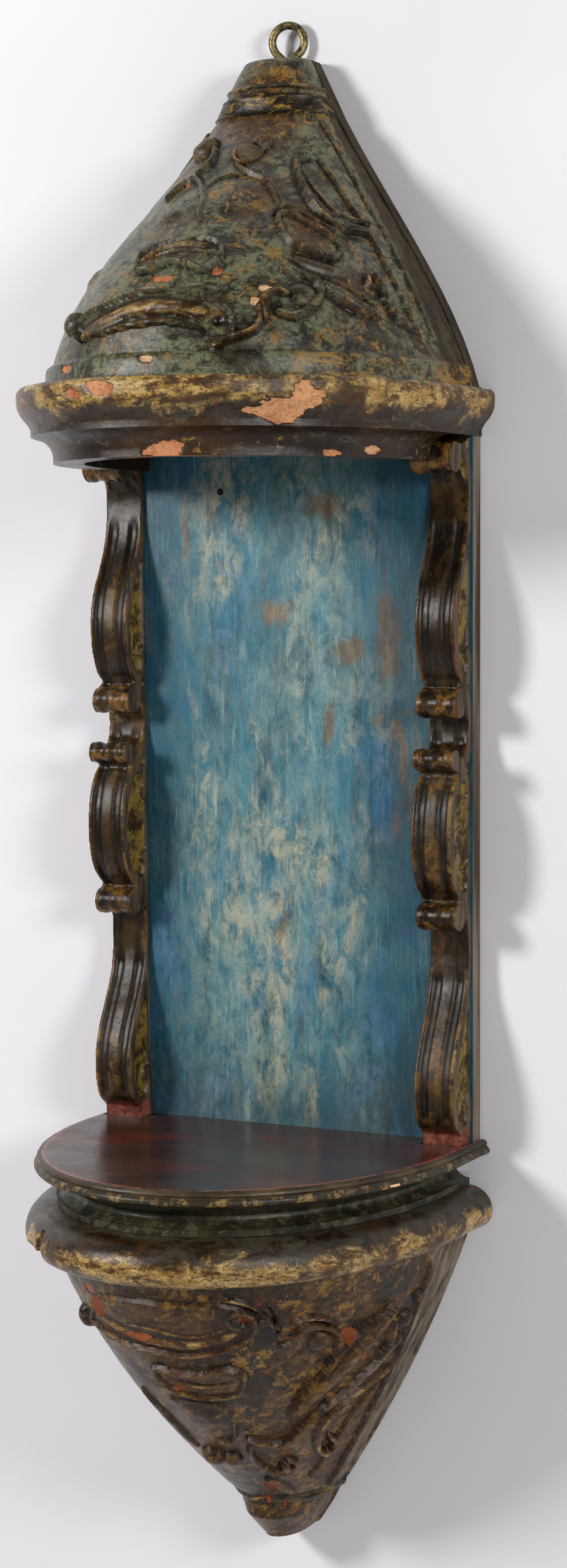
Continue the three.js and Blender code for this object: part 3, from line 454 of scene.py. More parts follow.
def carve_corbel(points, around):
    relief = Relief(points, around, corbel_level)
    relief.boss((86, -166), 16, 20, 2.6)
    relief.plate(FLUTED_SCROLL[:13] + [(61, -76), (75, -73), (95, -73), (110, -78)], 3.4, 1.4, 0.45)
    relief.stroke([(110, -88), (104, -93), (96, -98), (91, -100), (86, -101), (81, -102), (75, -101),
                   (69, -98), (63, -92)], 4.4, 5.4, 0.9, 0.6, 1.0, 1.2)
    relief.stroke([(98, -91), (92, -90), (86, -92), (80, -95), (74, -95), (69, -92), (65, -88)],
                  1.6, 5.0, 0.7)
    relief.stroke(FLUTED_SCROLL, 2.2, 6.6, 0.6, 0.75, 1.3, 1.0)
    relief.pit((61, -86), 2.8, 3.0)
    relief.knob((127, -102), 7.0, 6.5, 0.5)
    relief.knob((124, -96), 4.5, 5.5, 0.4)
    relief.knob((111, -106), 4.6, 4.0, 0.8)
    relief.stroke([(66, -70), (62, -72), (59, -75), (57, -79)], 1.6, 3.4, 1.0)
    relief.stroke([(57, -80), (54, -87), (53, -96), (53, -104), (51, -108), (48, -106)],
                  1.9, 3.8, 0.2, 0.6, 1.0, 2.2)
    relief.stroke([(54, -75), (52, -83), (52, -90), (51, -97)], 1.5, 3.4, 0.4)
    relief.pit((49, -102), 2.4, 2.6)
    relief.knob((39, -108), 8.0, 5.0, 0.2)
    relief.stroke([(48, -100), (45, -96), (41, -95), (36, -100), (33, -109), (33, -118), (35, -126)],
                  2.0, 5.6, 0.3)
    relief.stroke([(48, -91), (45, -89), (41, -89), (37, -93), (34, -98)], 1.6, 4.2, 1.0)
    relief.stroke([(14, -100), (19, -110), (23, -120), (29, -132), (35, -143), (42, -155), (48, -163)],
                  7.0, 5.4, 0.55, 0.35, 1.0, 1.0)
    relief.stroke([(15, -94), (19, -102), (25, -105), (29, -109), (32, -117), (35, -127), (38, -137),
                   (42, -145), (47, -155)], 1.8, 6.8, 0.35, 0.7)
    relief.stroke([(12, -108), (12, -126), (15, -137), (20, -145), (26, -154), (33, -162), (39, -169),
                   (44, -177), (50, -185), (56, -188), (62, -186), (68, -182)], 1.9, 5.4, 0.8, 0.7)
    relief.pit((26, -142), 2.6, 3.4)
    relief.pit((34, -160), 2.2, 3.0)
    relief.stroke([(8, -146), (14, -150), (21, -155), (27, -162), (32, -170), (35, -179), (36, -188),
                   (35, -198), (31, -204), (27, -203), (26, -196), (29, -191)], 2.5, 6.2, 0.9, 0.75, 1.0, 1.6)
    relief.stroke([(10, -158), (15, -168), (20, -180), (24, -196), (30, -214), (36, -226)],
                  1.8, 3.4, 0.6, 0.7)
    relief.plate(OVAL, 1.8, 1.2, 0.55)
    relief.stroke(OVAL + [OVAL[0]], 2.2, 4.8, 0.6, 0.9, 1.0, 1.0)
    relief.stroke([(90, -131), (83, -134), (76, -135), (69, -133)], 1.5, 4.0, 0.9)
    relief.stroke([(113, -150), (111, -162), (108, -174), (106, -186), (103, -195)], 4.0, 3.2, 0.4, 0.4)
    relief.stroke([(96, -150), (86, -149), (76, -151), (72, -160), (72, -172), (76, -184), (84, -186)],
                  1.5, 3.4, 0.1, 0.6, 2.4, 1.0)
    relief.knob((93, -200), 8.4, 7.4, 0.3)
    relief.knob((82, -202), 6.4, 5.6, 0.3)
    relief.pit((90, -196), 2.2, 2.0)
    relief.stroke([(66, -186), (69, -192), (69, -201), (66, -209), (61, -214), (55, -216), (48, -214),
                   (47, -208), (51, -205)], 2.2, 5.0, 0.6, 0.7, 1.6, 1.0)
    relief.knob((53, -209), 3.8, 5.2, 0.5)
    relief.stroke([(68, -224), (60, -232), (52, -240)], 4.0, 3.2, 0.5, 0.4)
    relief.knob((4, -96), 4.4, 5.0, 0.7)
    relief.knob((8, -110), 6.6, 5.4, 0.3)
    relief.knob((9, -125), 5.6, 4.6, 0.3)
    border = [(3, -74), (3, -116), (4, -150), (6, -180), (9, -215), (14, -240)]
    relief.stroke(border, 1.9, 3.0, 0.5, 0.9)
    relief.stroke([(180 - u, z) for u, z in border], 1.9, 2.2, 0.35, 0.9)
    return relief


# Chips: where paint or wood is lost, as [degrees, height, half width along, half height, paleness]
RING_CHIPS = [
    (52, 466, 20, 8, 0.8), (46, 474, 11, 9, 0.8), (50, 464, 7, 4, 0.2), (95, 481, 11, 5, 0.55),
    (82, 445, 21, 4.5, 0.45), (103, 478, 9, 3.5, 0.3), (24, 445, 8, 3, 0.9), (36, 443, 11, 2.5, 0.5),
    (90, 500, 7, 3.2, 1.0), (60, 534, 4, 3, 1.0), (57, 541, 9, 2.8, 1.0), (90, 549, 15, 2.4, 0.3),
    (72, 552, 6, 2.4, 0.7), (111, 614, 5, 2.4, 0.4), (23, 552, 3, 4, 0.6), (120, 497, 9, 2.5, 0.5),
]
CORBEL_CHIPS = [
    (94, -98, 15, 4.5, 0.35), (108, -82, 9, 6, 0.05), (61, -84, 4, 3, 0.0), (30, -108, 6, 9, 0.15),
    (88, -137, 7, 2.5, 0.2), (68, -232, 10, 6, 0.3), (78, -246, 8, 7, 0.35), (33, -226, 4, 4, 0.4),
    (21, -128, 4, 9, 0.35), (112, -74, 5, 4, 0.75), (84, -243, 4, 4, 0.5), (60, -250, 6, 4, 0.5),
]
SHELF_CHIPS = [(24, -8, 5, 2, 1.0)]
# Radii that chips' widths are measured on, and how deep the chips are
ROUND_RADIUS, CONE_RADIUS = 175, 150
RING_CHIP, CORBEL_CHIP, SHELF_CHIP = 0.9, 0.7, 0.5

# Wood broken off the torus, as [degrees, height, half width, half height]
LOST_PLACES = [(128, -60, 22, 13), (121, -47, 5, 11)]
LOST_DEPTH = 9.0


def chip_mask(front, chips, radius, seed):
    """Where a front is chipped, and how pale the chip is there."""
    points = front.points
    mask = np.zeros(len(points))
    tone = np.zeros(len(points))
    ragged = fractal_noise(points * np.array([0.6, 0.6, 1.3]), 6.0, seed, 3) - 0.5
    for degrees, height, wide, tall, share in chips:
        across = np.radians(front.angles - degrees) * radius
        r = np.sqrt((across / wide) ** 2 + ((points[:, 2] - height) / tall) ** 2) + 1.5 * ragged
        inside = smooth_step(1.0, 0.86, r)
        tone = np.where(inside > mask, share, tone)
        mask = np.maximum(mask, inside)
    return mask, tone


# Mesh making
def add_object(name, data):
    made = bpy.data.objects.new(name, data)
    bpy.context.scene.collection.objects.link(made)
    return made


def shade(mesh, keep_sharp=True):
    mesh.polygons.foreach_set("use_smooth", [True] * len(mesh.polygons))
    if keep_sharp:
        mesh.set_sharp_from_angle(angle=SHARP_ANGLE)


def add_layers(mesh, layers):
    for key, values in layers.items():
        layer = mesh.attributes.new(key, "FLOAT", "POINT")
        layer.data.foreach_set("value", np.asarray(values, np.float32).reshape(-1))


def result_of(piece):
    """The mesh that a piece's modifiers or curve give."""
    return bpy.data.meshes.new_from_object(piece.evaluated_get(bpy.context.evaluated_depsgraph_get()))


def loop_faces(rows, columns):
    """Faces of a grid that closes on itself, with both ends."""
    index = np.arange(rows * columns).reshape(rows, columns)
    low, high = index[:-1], index[1:]
    low_next, high_next = np.roll(low, -1, 1), np.roll(high, -1, 1)
    faces = np.stack([low, low_next, high_next, high], 2).reshape(-1, 4).tolist()
    return faces + [index[0][::-1].tolist(), index[-1].tolist()]


class Front:
    """A turned front as rows of points, from which a closed piece with a flat back is made."""

    def __init__(self, levels):
        self.levels = levels
        self.rows, self.around = front_rows(levels)
        self.points = self.rows.reshape(-1, 3)
        self.normals = grid_normals(self.rows).reshape(-1, 3)
        self.angles = np.repeat(self.around[None], len(levels), 0).reshape(-1)

    def carve(self, carving, low, high, soft):
        """The carving's height and paint masks, faded out at the cone's two ends."""
        z = self.points[:, 2]
        some = np.nonzero((z > low) & (z < high) & (self.angles > 0) & (self.angles < 180))[0]
        relief = carving(self.points[some], self.angles[some])
        fade = smooth_step(low, low + soft, z[some]) * smooth_step(high, high - soft, z[some])
        masks = {}
        for key in ("height", "gold", "bole", "crease_shade_and_grime"):
            masks[key] = np.zeros(len(z))
            masks[key][some] = getattr(relief, key) * fade
        return masks.pop("height"), masks

    def handwork(self, height, cone, seeds, dent, ripple):
        """How far points stand out, with the relief on an uneven hand-cut face."""
        uneven = fractal_noise(self.points, DENT_SIZE, seeds[0], 3)
        fine = fractal_noise(self.points, RIPPLE_SIZE, seeds[1], 2)
        rise = height * (0.9 + 0.2 * uneven)
        return rise - (dent + CONE_DENT * cone) * uneven - (ripple + CONE_RIPPLE * cone) * fine

    def make(self, name, move, layers, highest=None):
        """The closed piece, its front moved out by move and its edges kept on the wall."""
        moved = (self.points + self.normals * move[:, None]).reshape(self.rows.shape)
        moved[:, 0], moved[:, -1] = self.rows[:, 0], self.rows[:, -1]
        moved[0, :, 2], moved[-1, :, 2] = self.levels[0, 0], self.levels[-1, 0]
        if highest is not None:
            moved[:, :, 2] = np.minimum(moved[:, :, 2], highest)
        world = moved.reshape(-1, 3)
        world[:, 2] += SHELF_TOP
        mesh = bpy.data.meshes.new(name)
        mesh.from_pydata((world * MM).tolist(), [], loop_faces(*moved.shape[:2]))
        from_edge = np.minimum(self.angles, 180 - self.angles)
        zone = np.repeat(self.levels[:, 4], moved.shape[1])
        add_layers(mesh, {"zone": zone, "side": np.clip(from_edge / 10.0, 0, 1), **layers})
        work = bmesh.new()
        work.from_mesh(mesh)
        bmesh.ops.remove_doubles(work, verts=work.verts, dist=2e-6)
        bmesh.ops.dissolve_degenerate(work, edges=work.edges, dist=1e-7)
        bmesh.ops.recalc_face_normals(work, faces=work.faces)
        work.to_mesh(mesh)
        work.free()
        shade(mesh)
        return add_object(name, mesh)


def extrude(name, outline, ends, spot, triangulate=False):
    """A closed prism of an outline; spot gives the place of a corner at one of its two ends."""
    work = bmesh.new()
    first, second = ([work.verts.new(spot(a, b, end)) for a, b in outline] for end in ends)
    work.faces.new(first[::-1])
    work.faces.new(second)
    for i in range(len(outline)):
        j = (i + 1) % len(outline)
        work.faces.new((first[i], first[j], second[j], second[i]))
    bmesh.ops.recalc_face_normals(work, faces=work.faces)
    if triangulate:
        bmesh.ops.triangulate(work, faces=work.faces)
    mesh = bpy.data.meshes.new(name)
    work.to_mesh(mesh)
    work.free()
    return add_object(name, mesh)


def upright(x, y, z):
    return x * MM, y * MM, (z + SHELF_TOP) * MM


def across(reach, z, x):
    return x * MM, -reach * MM, (z + SHELF_TOP) * MM


def prism(outline, low, high):
    return extrude("cutter", outline, (low, high), upright)


def rectangle(x0, x1, y0, y1):
    return [(x0, y0), (x1, y0), (x1, y1), (x0, y1)]


def cut_away(piece, cutters):
    """Take the cutters out of a piece, and keep its smooth shading."""
    for cutter in cutters:
        modifier = piece.modifiers.new("cut", "BOOLEAN")
        modifier.operation = "DIFFERENCE"
        modifier.solver = "MANIFOLD"
        modifier.object = cutter
    mesh = result_of(piece)
    piece.modifiers.clear()
    piece.data = mesh
    for cutter in cutters:
        bpy.data.objects.remove(cutter)
    shade(mesh)


def board_room(low, high):
    half = BOARD_HALF_WIDTH + JOINT_GAP
    return prism(rectangle(-half, half, BOARD_FRONT, 1), low, high)


def pilaster_room(side, reach, low, high):
    inner = BOARD_HALF_WIDTH - PILASTER_WIDTH - JOINT_GAP
    outer = BOARD_HALF_WIDTH + JOINT_GAP
    ends = sorted((side * inner, side * outer))
    return prism(rectangle(*ends, -reach - JOINT_GAP, 1), low, high)


def hollow_outline():
    half = BOARD_HALF_WIDTH - CAVETTO_REACH - HOLLOW_WALL
    bow = RING_DEPTH - CAVETTO_REACH - HOLLOW_WALL - STRAIGHT_SIDE
    angles = np.radians(np.linspace(0, 180, 72))
    front = [(half * math.cos(a), -STRAIGHT_SIDE - bow * math.sin(a)) for a in angles]
    return [(half, 1)] + front + [(-half, 1)]


def canopy_levels():
    def ring(z, half, zone):
        return moulding(z, half, BOARD_HALF_WIDTH, RING_DEPTH, zone)
    inner, outer = BOARD_HALF_WIDTH - CAVETTO_REACH, BOARD_HALF_WIDTH + 1
    start = NICHE_HEIGHT + CAVETTO_HEIGHT * 0.2
    under = arc(start, BOARD_HALF_WIDTH, CAVETTO_HEIGHT * 0.75, CAVETTO_REACH, 180, 105, ring, CAVETTO)
    low, high = RING_BOTTOM - FILLET_HEIGHT, RING_BOTTOM
    round_part = [ring(RING_BOTTOM + RING_HEIGHT * up, BOARD_HALF_WIDTH + RING_BULGE * min(out, 1), ROUND)
                  for up, out in spline(RING_PROFILE)]
    foot = cone_level(CONE_BASE)
    plinth = [[RING_TOP + PLINTH_HEIGHT * up, foot[1] + PLINTH_REACH * out, foot[2] + PLINTH_REACH * out,
               foot[3], FLARE]
              for up, out in spline(PLINTH_PROFILE)]
    band = CAP_BASE - BEAD_HEIGHT
    return resample([
        [ring(NICHE_HEIGHT, inner, FILLET), ring(start, inner, FILLET)],
        under,
        [under[-1], ring(low, outer, FILLET)],
        [ring(low, outer, FILLET), ring(high, outer, FILLET)],
        [ring(high, outer, FILLET), round_part[0]],
        round_part,
        [round_part[-1], plinth[0]],
        plinth,
        [cone_level(z) for z in np.linspace(CONE_BASE, CONE_TOP, 60)],
        [cap_level(CONE_TOP, 0, BAND), cap_level(CONE_TOP + 1.2, BAND_PROUD, BAND),
         cap_level(CONE_TOP + 3.2, BAND_PROUD * 0.6, BAND), cap_level(BAND_TOP - 2, BAND_PROUD * 0.6, BAND),
         cap_level(BAND_TOP, BAND_PROUD, BAND), cap_level(BAND_TOP + 1.2, 0, BAND)],
        [cap_level(BAND_TOP + 1.2, 0, CAP), cap_level(band, 0, CAP)],
        [cap_level(band, 0, BEAD), cap_level(band + 1, BAND_PROUD, BEAD),
         cap_level(band + 3, BAND_PROUD, BEAD), cap_level(CAP_BASE, 0, BEAD)],
        [cap_level(z, 0, CAP) for z in np.linspace(CAP_BASE, CAP_TOP - 1.2, 12)],
        [cap_level(CAP_TOP - 1.2, 0, CAP), cap_level(CAP_TOP - 0.3, -0.5, CAP),
         cap_level(CAP_TOP, -1.6, CAP)],
    ])


def make_canopy():
    front = Front(canopy_levels())
    z = front.points[:, 2]
    height, masks = front.carve(carve_canopy, CONE_BASE - 3, CONE_TOP, 5)
    chips, tone = chip_mask(front, RING_CHIPS, ROUND_RADIUS, 5)
    cone = smooth_step(CONE_BASE - 8, CONE_BASE + 4, z) * smooth_step(CAP_TOP, CONE_TOP, z)
    move = front.handwork(height, cone, (3, 9), 0.3, 0.2) - RING_CHIP * chips
    piece = front.make("canopy_carved", move, {**masks, "chip": chips, "tone": tone})
    room_top = PILASTER_TOP + JOINT_GAP
    cut_away(piece, [
        board_room(NICHE_HEIGHT - 1, CAP_TOP + 1),
        pilaster_room(1, PILASTER_REACH, NICHE_HEIGHT - 1, room_top),
        pilaster_room(-1, PILASTER_REACH, NICHE_HEIGHT - 1, room_top),
        prism(hollow_outline(), NICHE_HEIGHT - 1, NICHE_HEIGHT + HOLLOW_HEIGHT),
    ])
    return piece


def corbel_levels():
    def torus(z, half, zone):
        return moulding(z, half, TORUS_HALF_WIDTH, TORUS_DEPTH, zone)
    top = NECK_BOTTOM - JOINT_GAP
    middle = NECK_BOTTOM - TORUS_HEIGHT * 0.55
    reach = CORBEL_SIDE_RECESS
    foot = corbel_level(CORBEL_RIDGE)
    end = CORBEL_RIDGE - TIP_HEIGHT

    def beside(up, out, zone):
        return [CORBEL_RIDGE + TIP_RIDGE * up,
                foot[1] + TIP_RIDGE * out, foot[2] + TIP_RIDGE * out, foot[3], zone]
    tip = [
        [end, TIP_END_HALF_WIDTH - 1.5, TIP_END_DEPTH - 2, TIP_END_HALF_WIDTH, CAP],
        [end + 1.5, TIP_END_HALF_WIDTH, TIP_END_DEPTH, TIP_END_HALF_WIDTH, CAP],
        [CORBEL_RIDGE - TIP_HEIGHT * 0.45, lerp(TIP_END_HALF_WIDTH, CORBEL_TIP_HALF_WIDTH, 0.55),
         lerp(TIP_END_DEPTH, CORBEL_TIP_DEPTH, 0.9), TIP_END_HALF_WIDTH, CAP],
        beside(-1, -0.8, CAP),
    ]
    low = arc(middle, CORBEL_TOP_HALF_WIDTH, middle - CORBEL_TOP, reach, -72, 0, torus, ROUND, 40)
    return resample([
        tip,
        [beside(-1, -0.8, BEAD), beside(-0.6, -0.1, BEAD), beside(0, 0.3, BEAD), beside(0.6, 0.2, BEAD),
         corbel_level(CORBEL_RIDGE + TIP_RIDGE * 1.4, BEAD)],
        [corbel_level(z) for z in np.linspace(CORBEL_RIDGE + TIP_RIDGE * 1.4, CORBEL_TOP, 70)],
        [corbel_level(CORBEL_TOP), low[0]],
        low,
        arc(middle, CORBEL_TOP_HALF_WIDTH, top - middle, reach, 0, 90, torus, ROUND, 40),
    ])


def broken_places(points):
    """How far each point is broken away, 0 to 1."""
    crumbled = 0.5 * (fractal_noise(points, 5.0, 21, 2) - 0.5)
    lost = np.zeros(len(points))
    for degrees, lost_z, wide, tall in LOST_PLACES:
        edge = moulding(lost_z, TORUS_HALF_WIDTH - 3, TORUS_HALF_WIDTH, TORUS_DEPTH, ROUND)
        place = plan_point(edge, math.radians(degrees))
        away = np.linalg.norm((points - place) / np.array([wide, wide, tall]), axis=1)
        lost = np.maximum(lost, smooth_step(1.05, 0.6, away + crumbled))
    return lost


def make_corbel():
    front = Front(corbel_levels())
    height, masks = front.carve(carve_corbel, CORBEL_RIDGE + 3, CORBEL_TOP + 1, 6)
    chips, tone = chip_mask(front, CORBEL_CHIPS, CONE_RADIUS, 11)
    lost = broken_places(front.points)
    chips, tone = np.maximum(chips, smooth_step(0.05, 0.3, lost)), np.where(lost > 0.05, 0.9, tone)
    cone = smooth_step(CORBEL_TOP + 6, CORBEL_TOP - 4, front.points[:, 2])
    move = front.handwork(height, cone, (31, 33), 0.4, 0.25) - CORBEL_CHIP * chips - LOST_DEPTH * lost
    return front.make("corbel_carved", move, {**masks, "chip": chips, "tone": tone})


def make_shelf():
    def at(z, half, zone):
        return moulding(z, half, SHELF_HALF_WIDTH, SHELF_DEPTH, zone)
    fillet = SHELF_HALF_WIDTH - NECK_FILLET_RECESS
    neck_start = NECK_BOTTOM + NECK_FILLET_HEIGHT
    bead = -RIM_HEIGHT + RIM_BEAD
    under = [at(neck_start + NECK_HEIGHT * up, SHELF_HALF_WIDTH - NECK_RECESS * back, CAVETTO)
             for up, back in NECK_PROFILE]
    edge = SHELF_HALF_WIDTH - RIM_SET_BACK
    segments = [
        [at(NECK_BOTTOM, fillet, FILLET), at(neck_start, fillet, FILLET)],
        [at(neck_start, fillet, FILLET), under[0]],
        under,
        arc(bead, SHELF_HALF_WIDTH - RIM_BEAD, RIM_BEAD, RIM_BEAD, -88, 62, at, BEAD, 24),
        [at(-RIM_HEIGHT * 0.42, SHELF_HALF_WIDTH - 2.4, BAND),
         at(-RIM_HEIGHT * 0.38, SHELF_HALF_WIDTH - 2.6, BAND)],
        [at(-RIM_HEIGHT * 0.38, SHELF_HALF_WIDTH - 2.6, BAND),
         at(-RIM_HEIGHT * 0.3, SHELF_HALF_WIDTH - 1.8, BAND),
         at(-RIM_HEIGHT * 0.14, SHELF_HALF_WIDTH - 2.2, BAND),
         at(-RIM_HEIGHT * 0.04, SHELF_HALF_WIDTH - 3.4, BAND), at(0, edge, BAND)],
    ]
    insets = (0.4, 1.2, 2.2, 3.4, 5.0, 8.0, 14.0, 24.0, 40.0, 70.0)
    levels = np.vstack([resample(segments), [at(0, edge - inset, TOP) for inset in insets]])
    front = Front(levels)
    columns = front.rows.shape[1]
    rim = np.repeat(levels[:, 4] < TOP, columns)
    inset = np.repeat(np.maximum(0, edge - levels[:, 1]) * (levels[:, 4] == TOP), columns)
    uneven = fractal_noise(front.points, 22.0, 41, 3)
    fine = fractal_noise(front.points, 4.0, 43, 2)
    chips, tone = chip_mask(front, SHELF_CHIPS, ROUND_RADIUS, 15)
    move = -(0.5 * uneven + 0.3 * fine + SHELF_CHIP * chips) * rim
    piece = front.make("shelf_moulded", move, {"chip": chips, "tone": tone, "inset": inset}, 0)
    cut_away(piece, [
        board_room(-HOUSING_DEPTH, 1),
        pilaster_room(1, PILASTER_FOOT_REACH, -HOUSING_DEPTH, 1),
        pilaster_room(-1, PILASTER_FOOT_REACH, -HOUSING_DEPTH, 1),
    ])
    return piece


# Pilasters: straps that follow scroll lines in the side view, given as [reach from the wall, height]
PILASTER_STRAPS = {
    "upper_scroll": ([(36, 441), (34, 448), (27, 450), (20, 446), (15, 436), (12.5, 424), (13, 410),
                      (16, 394), (23, 377), (32, 360), (36.5, 342), (35, 322), (29, 307), (21, 302),
                      (15.5, 306), (14.5, 315), (18, 321), (21, 317)], 6.5),
    "middle_neck": ([(31, 291), (26, 295), (19, 293), (15, 285), (13, 273), (14, 262), (19, 253), (27, 247),
                     (36, 246)], 7.0),
    "c_scroll": ([(21, 226), (17, 222), (14.5, 227), (16, 237), (24, 241), (34, 236), (41, 222), (43.5, 204),
                  (42, 186), (36, 172), (26, 164), (17.5, 164), (14.5, 173), (17, 181), (21, 178)], 6.5),
    "lower_scroll": ([(31, 154), (27, 159), (20, 157), (15, 147), (12.5, 132), (13, 116), (16, 100), (23, 84),
                      (31, 68), (38, 50), (39.5, 34), (36, 18), (27, 10), (18.5, 11), (14.5, 20), (15.5, 30),
                      (20, 31), (21.5, 25)], 6.5),
}
PILASTER_ROLLS = [(37.5, 443.5, 10.5, 0.9), (30, 287, 9.2, 0.7), (37, 252, 7.6, 0.9), (30.5, 150, 9.2, 0.6)]
WEB_HALF_WIDTH = 11.5
BACK_REACH, FOOT_BLOCK_REACH = 12.4, 29.5


def strap_outline(line, thickness):
    path = spline(line, 6)
    ahead = np.gradient(path, axis=0)
    ahead /= np.linalg.norm(ahead, axis=1, keepdims=True)
    across = np.stack([-ahead[:, 1], ahead[:, 0]], 1)
    share = np.linspace(0, 1, len(path))
    half = thickness / 2 * (0.55 + 0.45 * smooth_step(0, 0.12, share) * smooth_step(1.0, 0.86, share))
    return np.vstack([path + across * half[:, None], (path - across * half[:, None])[::-1]])


def pilaster_web():
    """The sunk part behind the straps: each height reaches to just inside the strap's middle."""
    front = []
    for z in np.linspace(8, PILASTER_TOP - 2, 90):
        reach = 14.0
        for line, _ in PILASTER_STRAPS.values():
            path = spline(line, 6)
            near = path[np.abs(path[:, 1] - z) < 3.5]
            if len(near):
                reach = max(reach, near[:, 0].max())
        front.append((reach, z))
    front = np.array(front)
    kernel = np.ones(5) / 5
    front[2:-2, 0] = np.convolve(front[:, 0], kernel, "valid")
    return [(BACK_REACH, 8.0)] + [tuple(p) for p in front] + [(BACK_REACH, PILASTER_TOP - 2)]


def make_pilaster(name, side):
    centre_x = side * (BOARD_HALF_WIDTH - PILASTER_WIDTH / 2)
    half = PILASTER_WIDTH / 2
    outlines = [(strap_outline(line, thickness), half - 0.8) for line, thickness in PILASTER_STRAPS.values()]
    outlines.append((np.array(pilaster_web()), WEB_HALF_WIDTH))
    foot = JOINT_GAP - HOUSING_DEPTH
    block = [(BACK_REACH, foot), (FOOT_BLOCK_REACH, foot), (FOOT_BLOCK_REACH, 9), (BACK_REACH, 11)]
    outlines.append((np.array(block), half - 0.9))
    outlines.append((np.array(rectangle(BACK_REACH, BACK_REACH + 3, foot, PILASTER_TOP - 0.5)), half - 0.9))
    turns = np.linspace(0, 2 * math.pi, 40, endpoint=False)
    for reach, height, radius, _ in PILASTER_ROLLS:
        ring = [(reach + radius * math.cos(a), height + radius * math.sin(a)) for a in turns]
        outlines.append((np.array(ring), half - 0.7))
    pieces = [extrude(f"{name}_{index}", outline, (centre_x - width, centre_x + width), across, True)
              for index, (outline, width) in enumerate(outlines)]
    whole = pieces[0]
    for other in pieces[1:]:
        join = whole.modifiers.new("join", "BOOLEAN")
        join.operation = "UNION"
        join.solver = "MANIFOLD"
        join.object = other
    remesh = whole.modifiers.new("remesh", "REMESH")
    remesh.mode = "VOXEL"
    remesh.voxel_size = VOXEL
    soften = whole.modifiers.new("soften", "SMOOTH")
    soften.factor = 0.5
    soften.iterations = 3
    mesh = result_of(whole)
    for other in pieces:
        bpy.data.objects.remove(other)
    flute_pilaster(mesh, centre_x)
    return add_object(name, mesh)


def flute_pilaster(mesh, centre_x):
    """Grooves along the straps' fronts, beads round the rolls, and paint masks."""
    count = len(mesh.vertices)
    spots = np.empty(count * 3)
    mesh.vertices.foreach_get("co", spots)
    spots = spots.reshape(-1, 3) / MM
    spots[:, 2] -= SHELF_TOP
    normals = np.empty(count * 3)
    mesh.vertices.foreach_get("normal", normals)
    normals = normals.reshape(-1, 3)
    x = spots[:, 0] - centre_x
    half = PILASTER_WIDTH / 2
    facing = smooth_step(0.75, 0.35, np.abs(normals[:, 0]))
    forward = smooth_step(-0.15, 0.35, -normals[:, 1]) * smooth_step(15.8, 18, -spots[:, 1])
    roll = np.zeros(count)
    beads = np.zeros(count)
    for reach, height, radius, bead in PILASTER_ROLLS:
        away = np.hypot(-spots[:, 1] - reach, spots[:, 2] - height)
        on = smooth_step(radius + 1.6, radius + 0.2, away)
        roll = np.maximum(roll, on)
        beads = np.maximum(beads, on * bead)
    share = np.abs(x) / half
    groove = smooth_step(0.22, 0.42, share) * smooth_step(0.78, 0.6, share)
    block = smooth_step(14, 20, spots[:, 2])
    flute = groove * facing * forward * (1 - roll) * block
    bead_wave = 0.5 - 0.5 * np.cos(2 * np.pi * 3 * (x / (2 * half) + 0.5))
    uneven = fractal_noise(spots, 14.0, 61, 3)
    move = -1.7 * flute + beads * facing * (-1.3 + 1.3 * bead_wave) - 0.55 * uneven
    spots = spots + normals * move[:, None]
    spots[:, 1] = np.minimum(spots[:, 1], BOARD_FRONT)
    spots[:, 0] = np.clip(spots[:, 0], centre_x - half, centre_x + half)
    world = spots.copy()
    world[:, 2] += SHELF_TOP
    mesh.vertices.foreach_set("co", (world * MM).reshape(-1))
    edge = smooth_step(0.78, 0.92, share) * facing * forward
    cheek = smooth_step(0.5, 0.85, np.abs(normals[:, 0])) * smooth_step(0.86, 0.93, share)
    web = smooth_step(0.5, 0.85, np.abs(normals[:, 0])) * smooth_step(0.88, 0.8, share)
    add_layers(mesh, {"edge": edge, "flute": flute, "roll": roll * facing, "cheek": cheek, "web": web})
    shade(mesh, False)
    mesh.update()


# Hanging eye: one wire whose legs cross as they enter the cap
def make_eye():
    height = CAP_TOP + EYE_RADIUS + EYE_WIRE + JOINT_GAP
    centre = Vector((EYE_OFF_CENTRE, -EYE_BOARD_MIDDLE, height + SHELF_TOP)) * MM
    curve = bpy.data.curves.new("eye_wire", "CURVE")
    curve.dimensions = "3D"
    curve.bevel_depth = EYE_WIRE * MM
    curve.bevel_resolution = 5
    curve.use_fill_caps = True
    curve.resolution_u = 10
    route = []
    for i in range(15):
        a = -math.pi / 2 + EYE_HALF_OPENING + 2 * (math.pi - EYE_HALF_OPENING) * i / 14
        lift = EYE_WIRE * 0.8 * (i / 7 - 1)
        route.append((EYE_RADIUS * math.cos(a), lift, EYE_RADIUS * math.sin(a)))
    start = [(-EYE_WIRE * 0.5, -EYE_WIRE * 0.9, -EYE_RADIUS - EYE_LEG),
             (-EYE_WIRE * 0.2, -EYE_WIRE * 0.9, -EYE_RADIUS - 4)]
    end = [(-x, -y, z) for x, y, z in start[::-1]]
    route = start + route + end
    line = curve.splines.new("NURBS")
    line.points.add(len(route) - 1)
    turn = Matrix.Rotation(EYE_TURN, 3, "Z")
    for point, (x, y, z) in zip(line.points, route):
        place = centre + turn @ Vector((x * MM, y * MM, z * MM))
        point.co = (*place, 1)
    line.use_endpoint_u = True
    line.order_u = 4
    holder = add_object("eye_holder", curve)
    mesh = result_of(holder)
    bpy.data.objects.remove(holder)
    shade(mesh, False)
    return add_object("hanging_eye_wire", mesh)


# Materials
def colour(text):
    values = [int(text[i:i + 2], 16) / 255 for i in (1, 3, 5)]
    linear = [v / 12.92 if v <= 0.04045 else ((v + 0.055) / 1.055) ** 2.4 for v in values]
    return (*linear, 1.0)


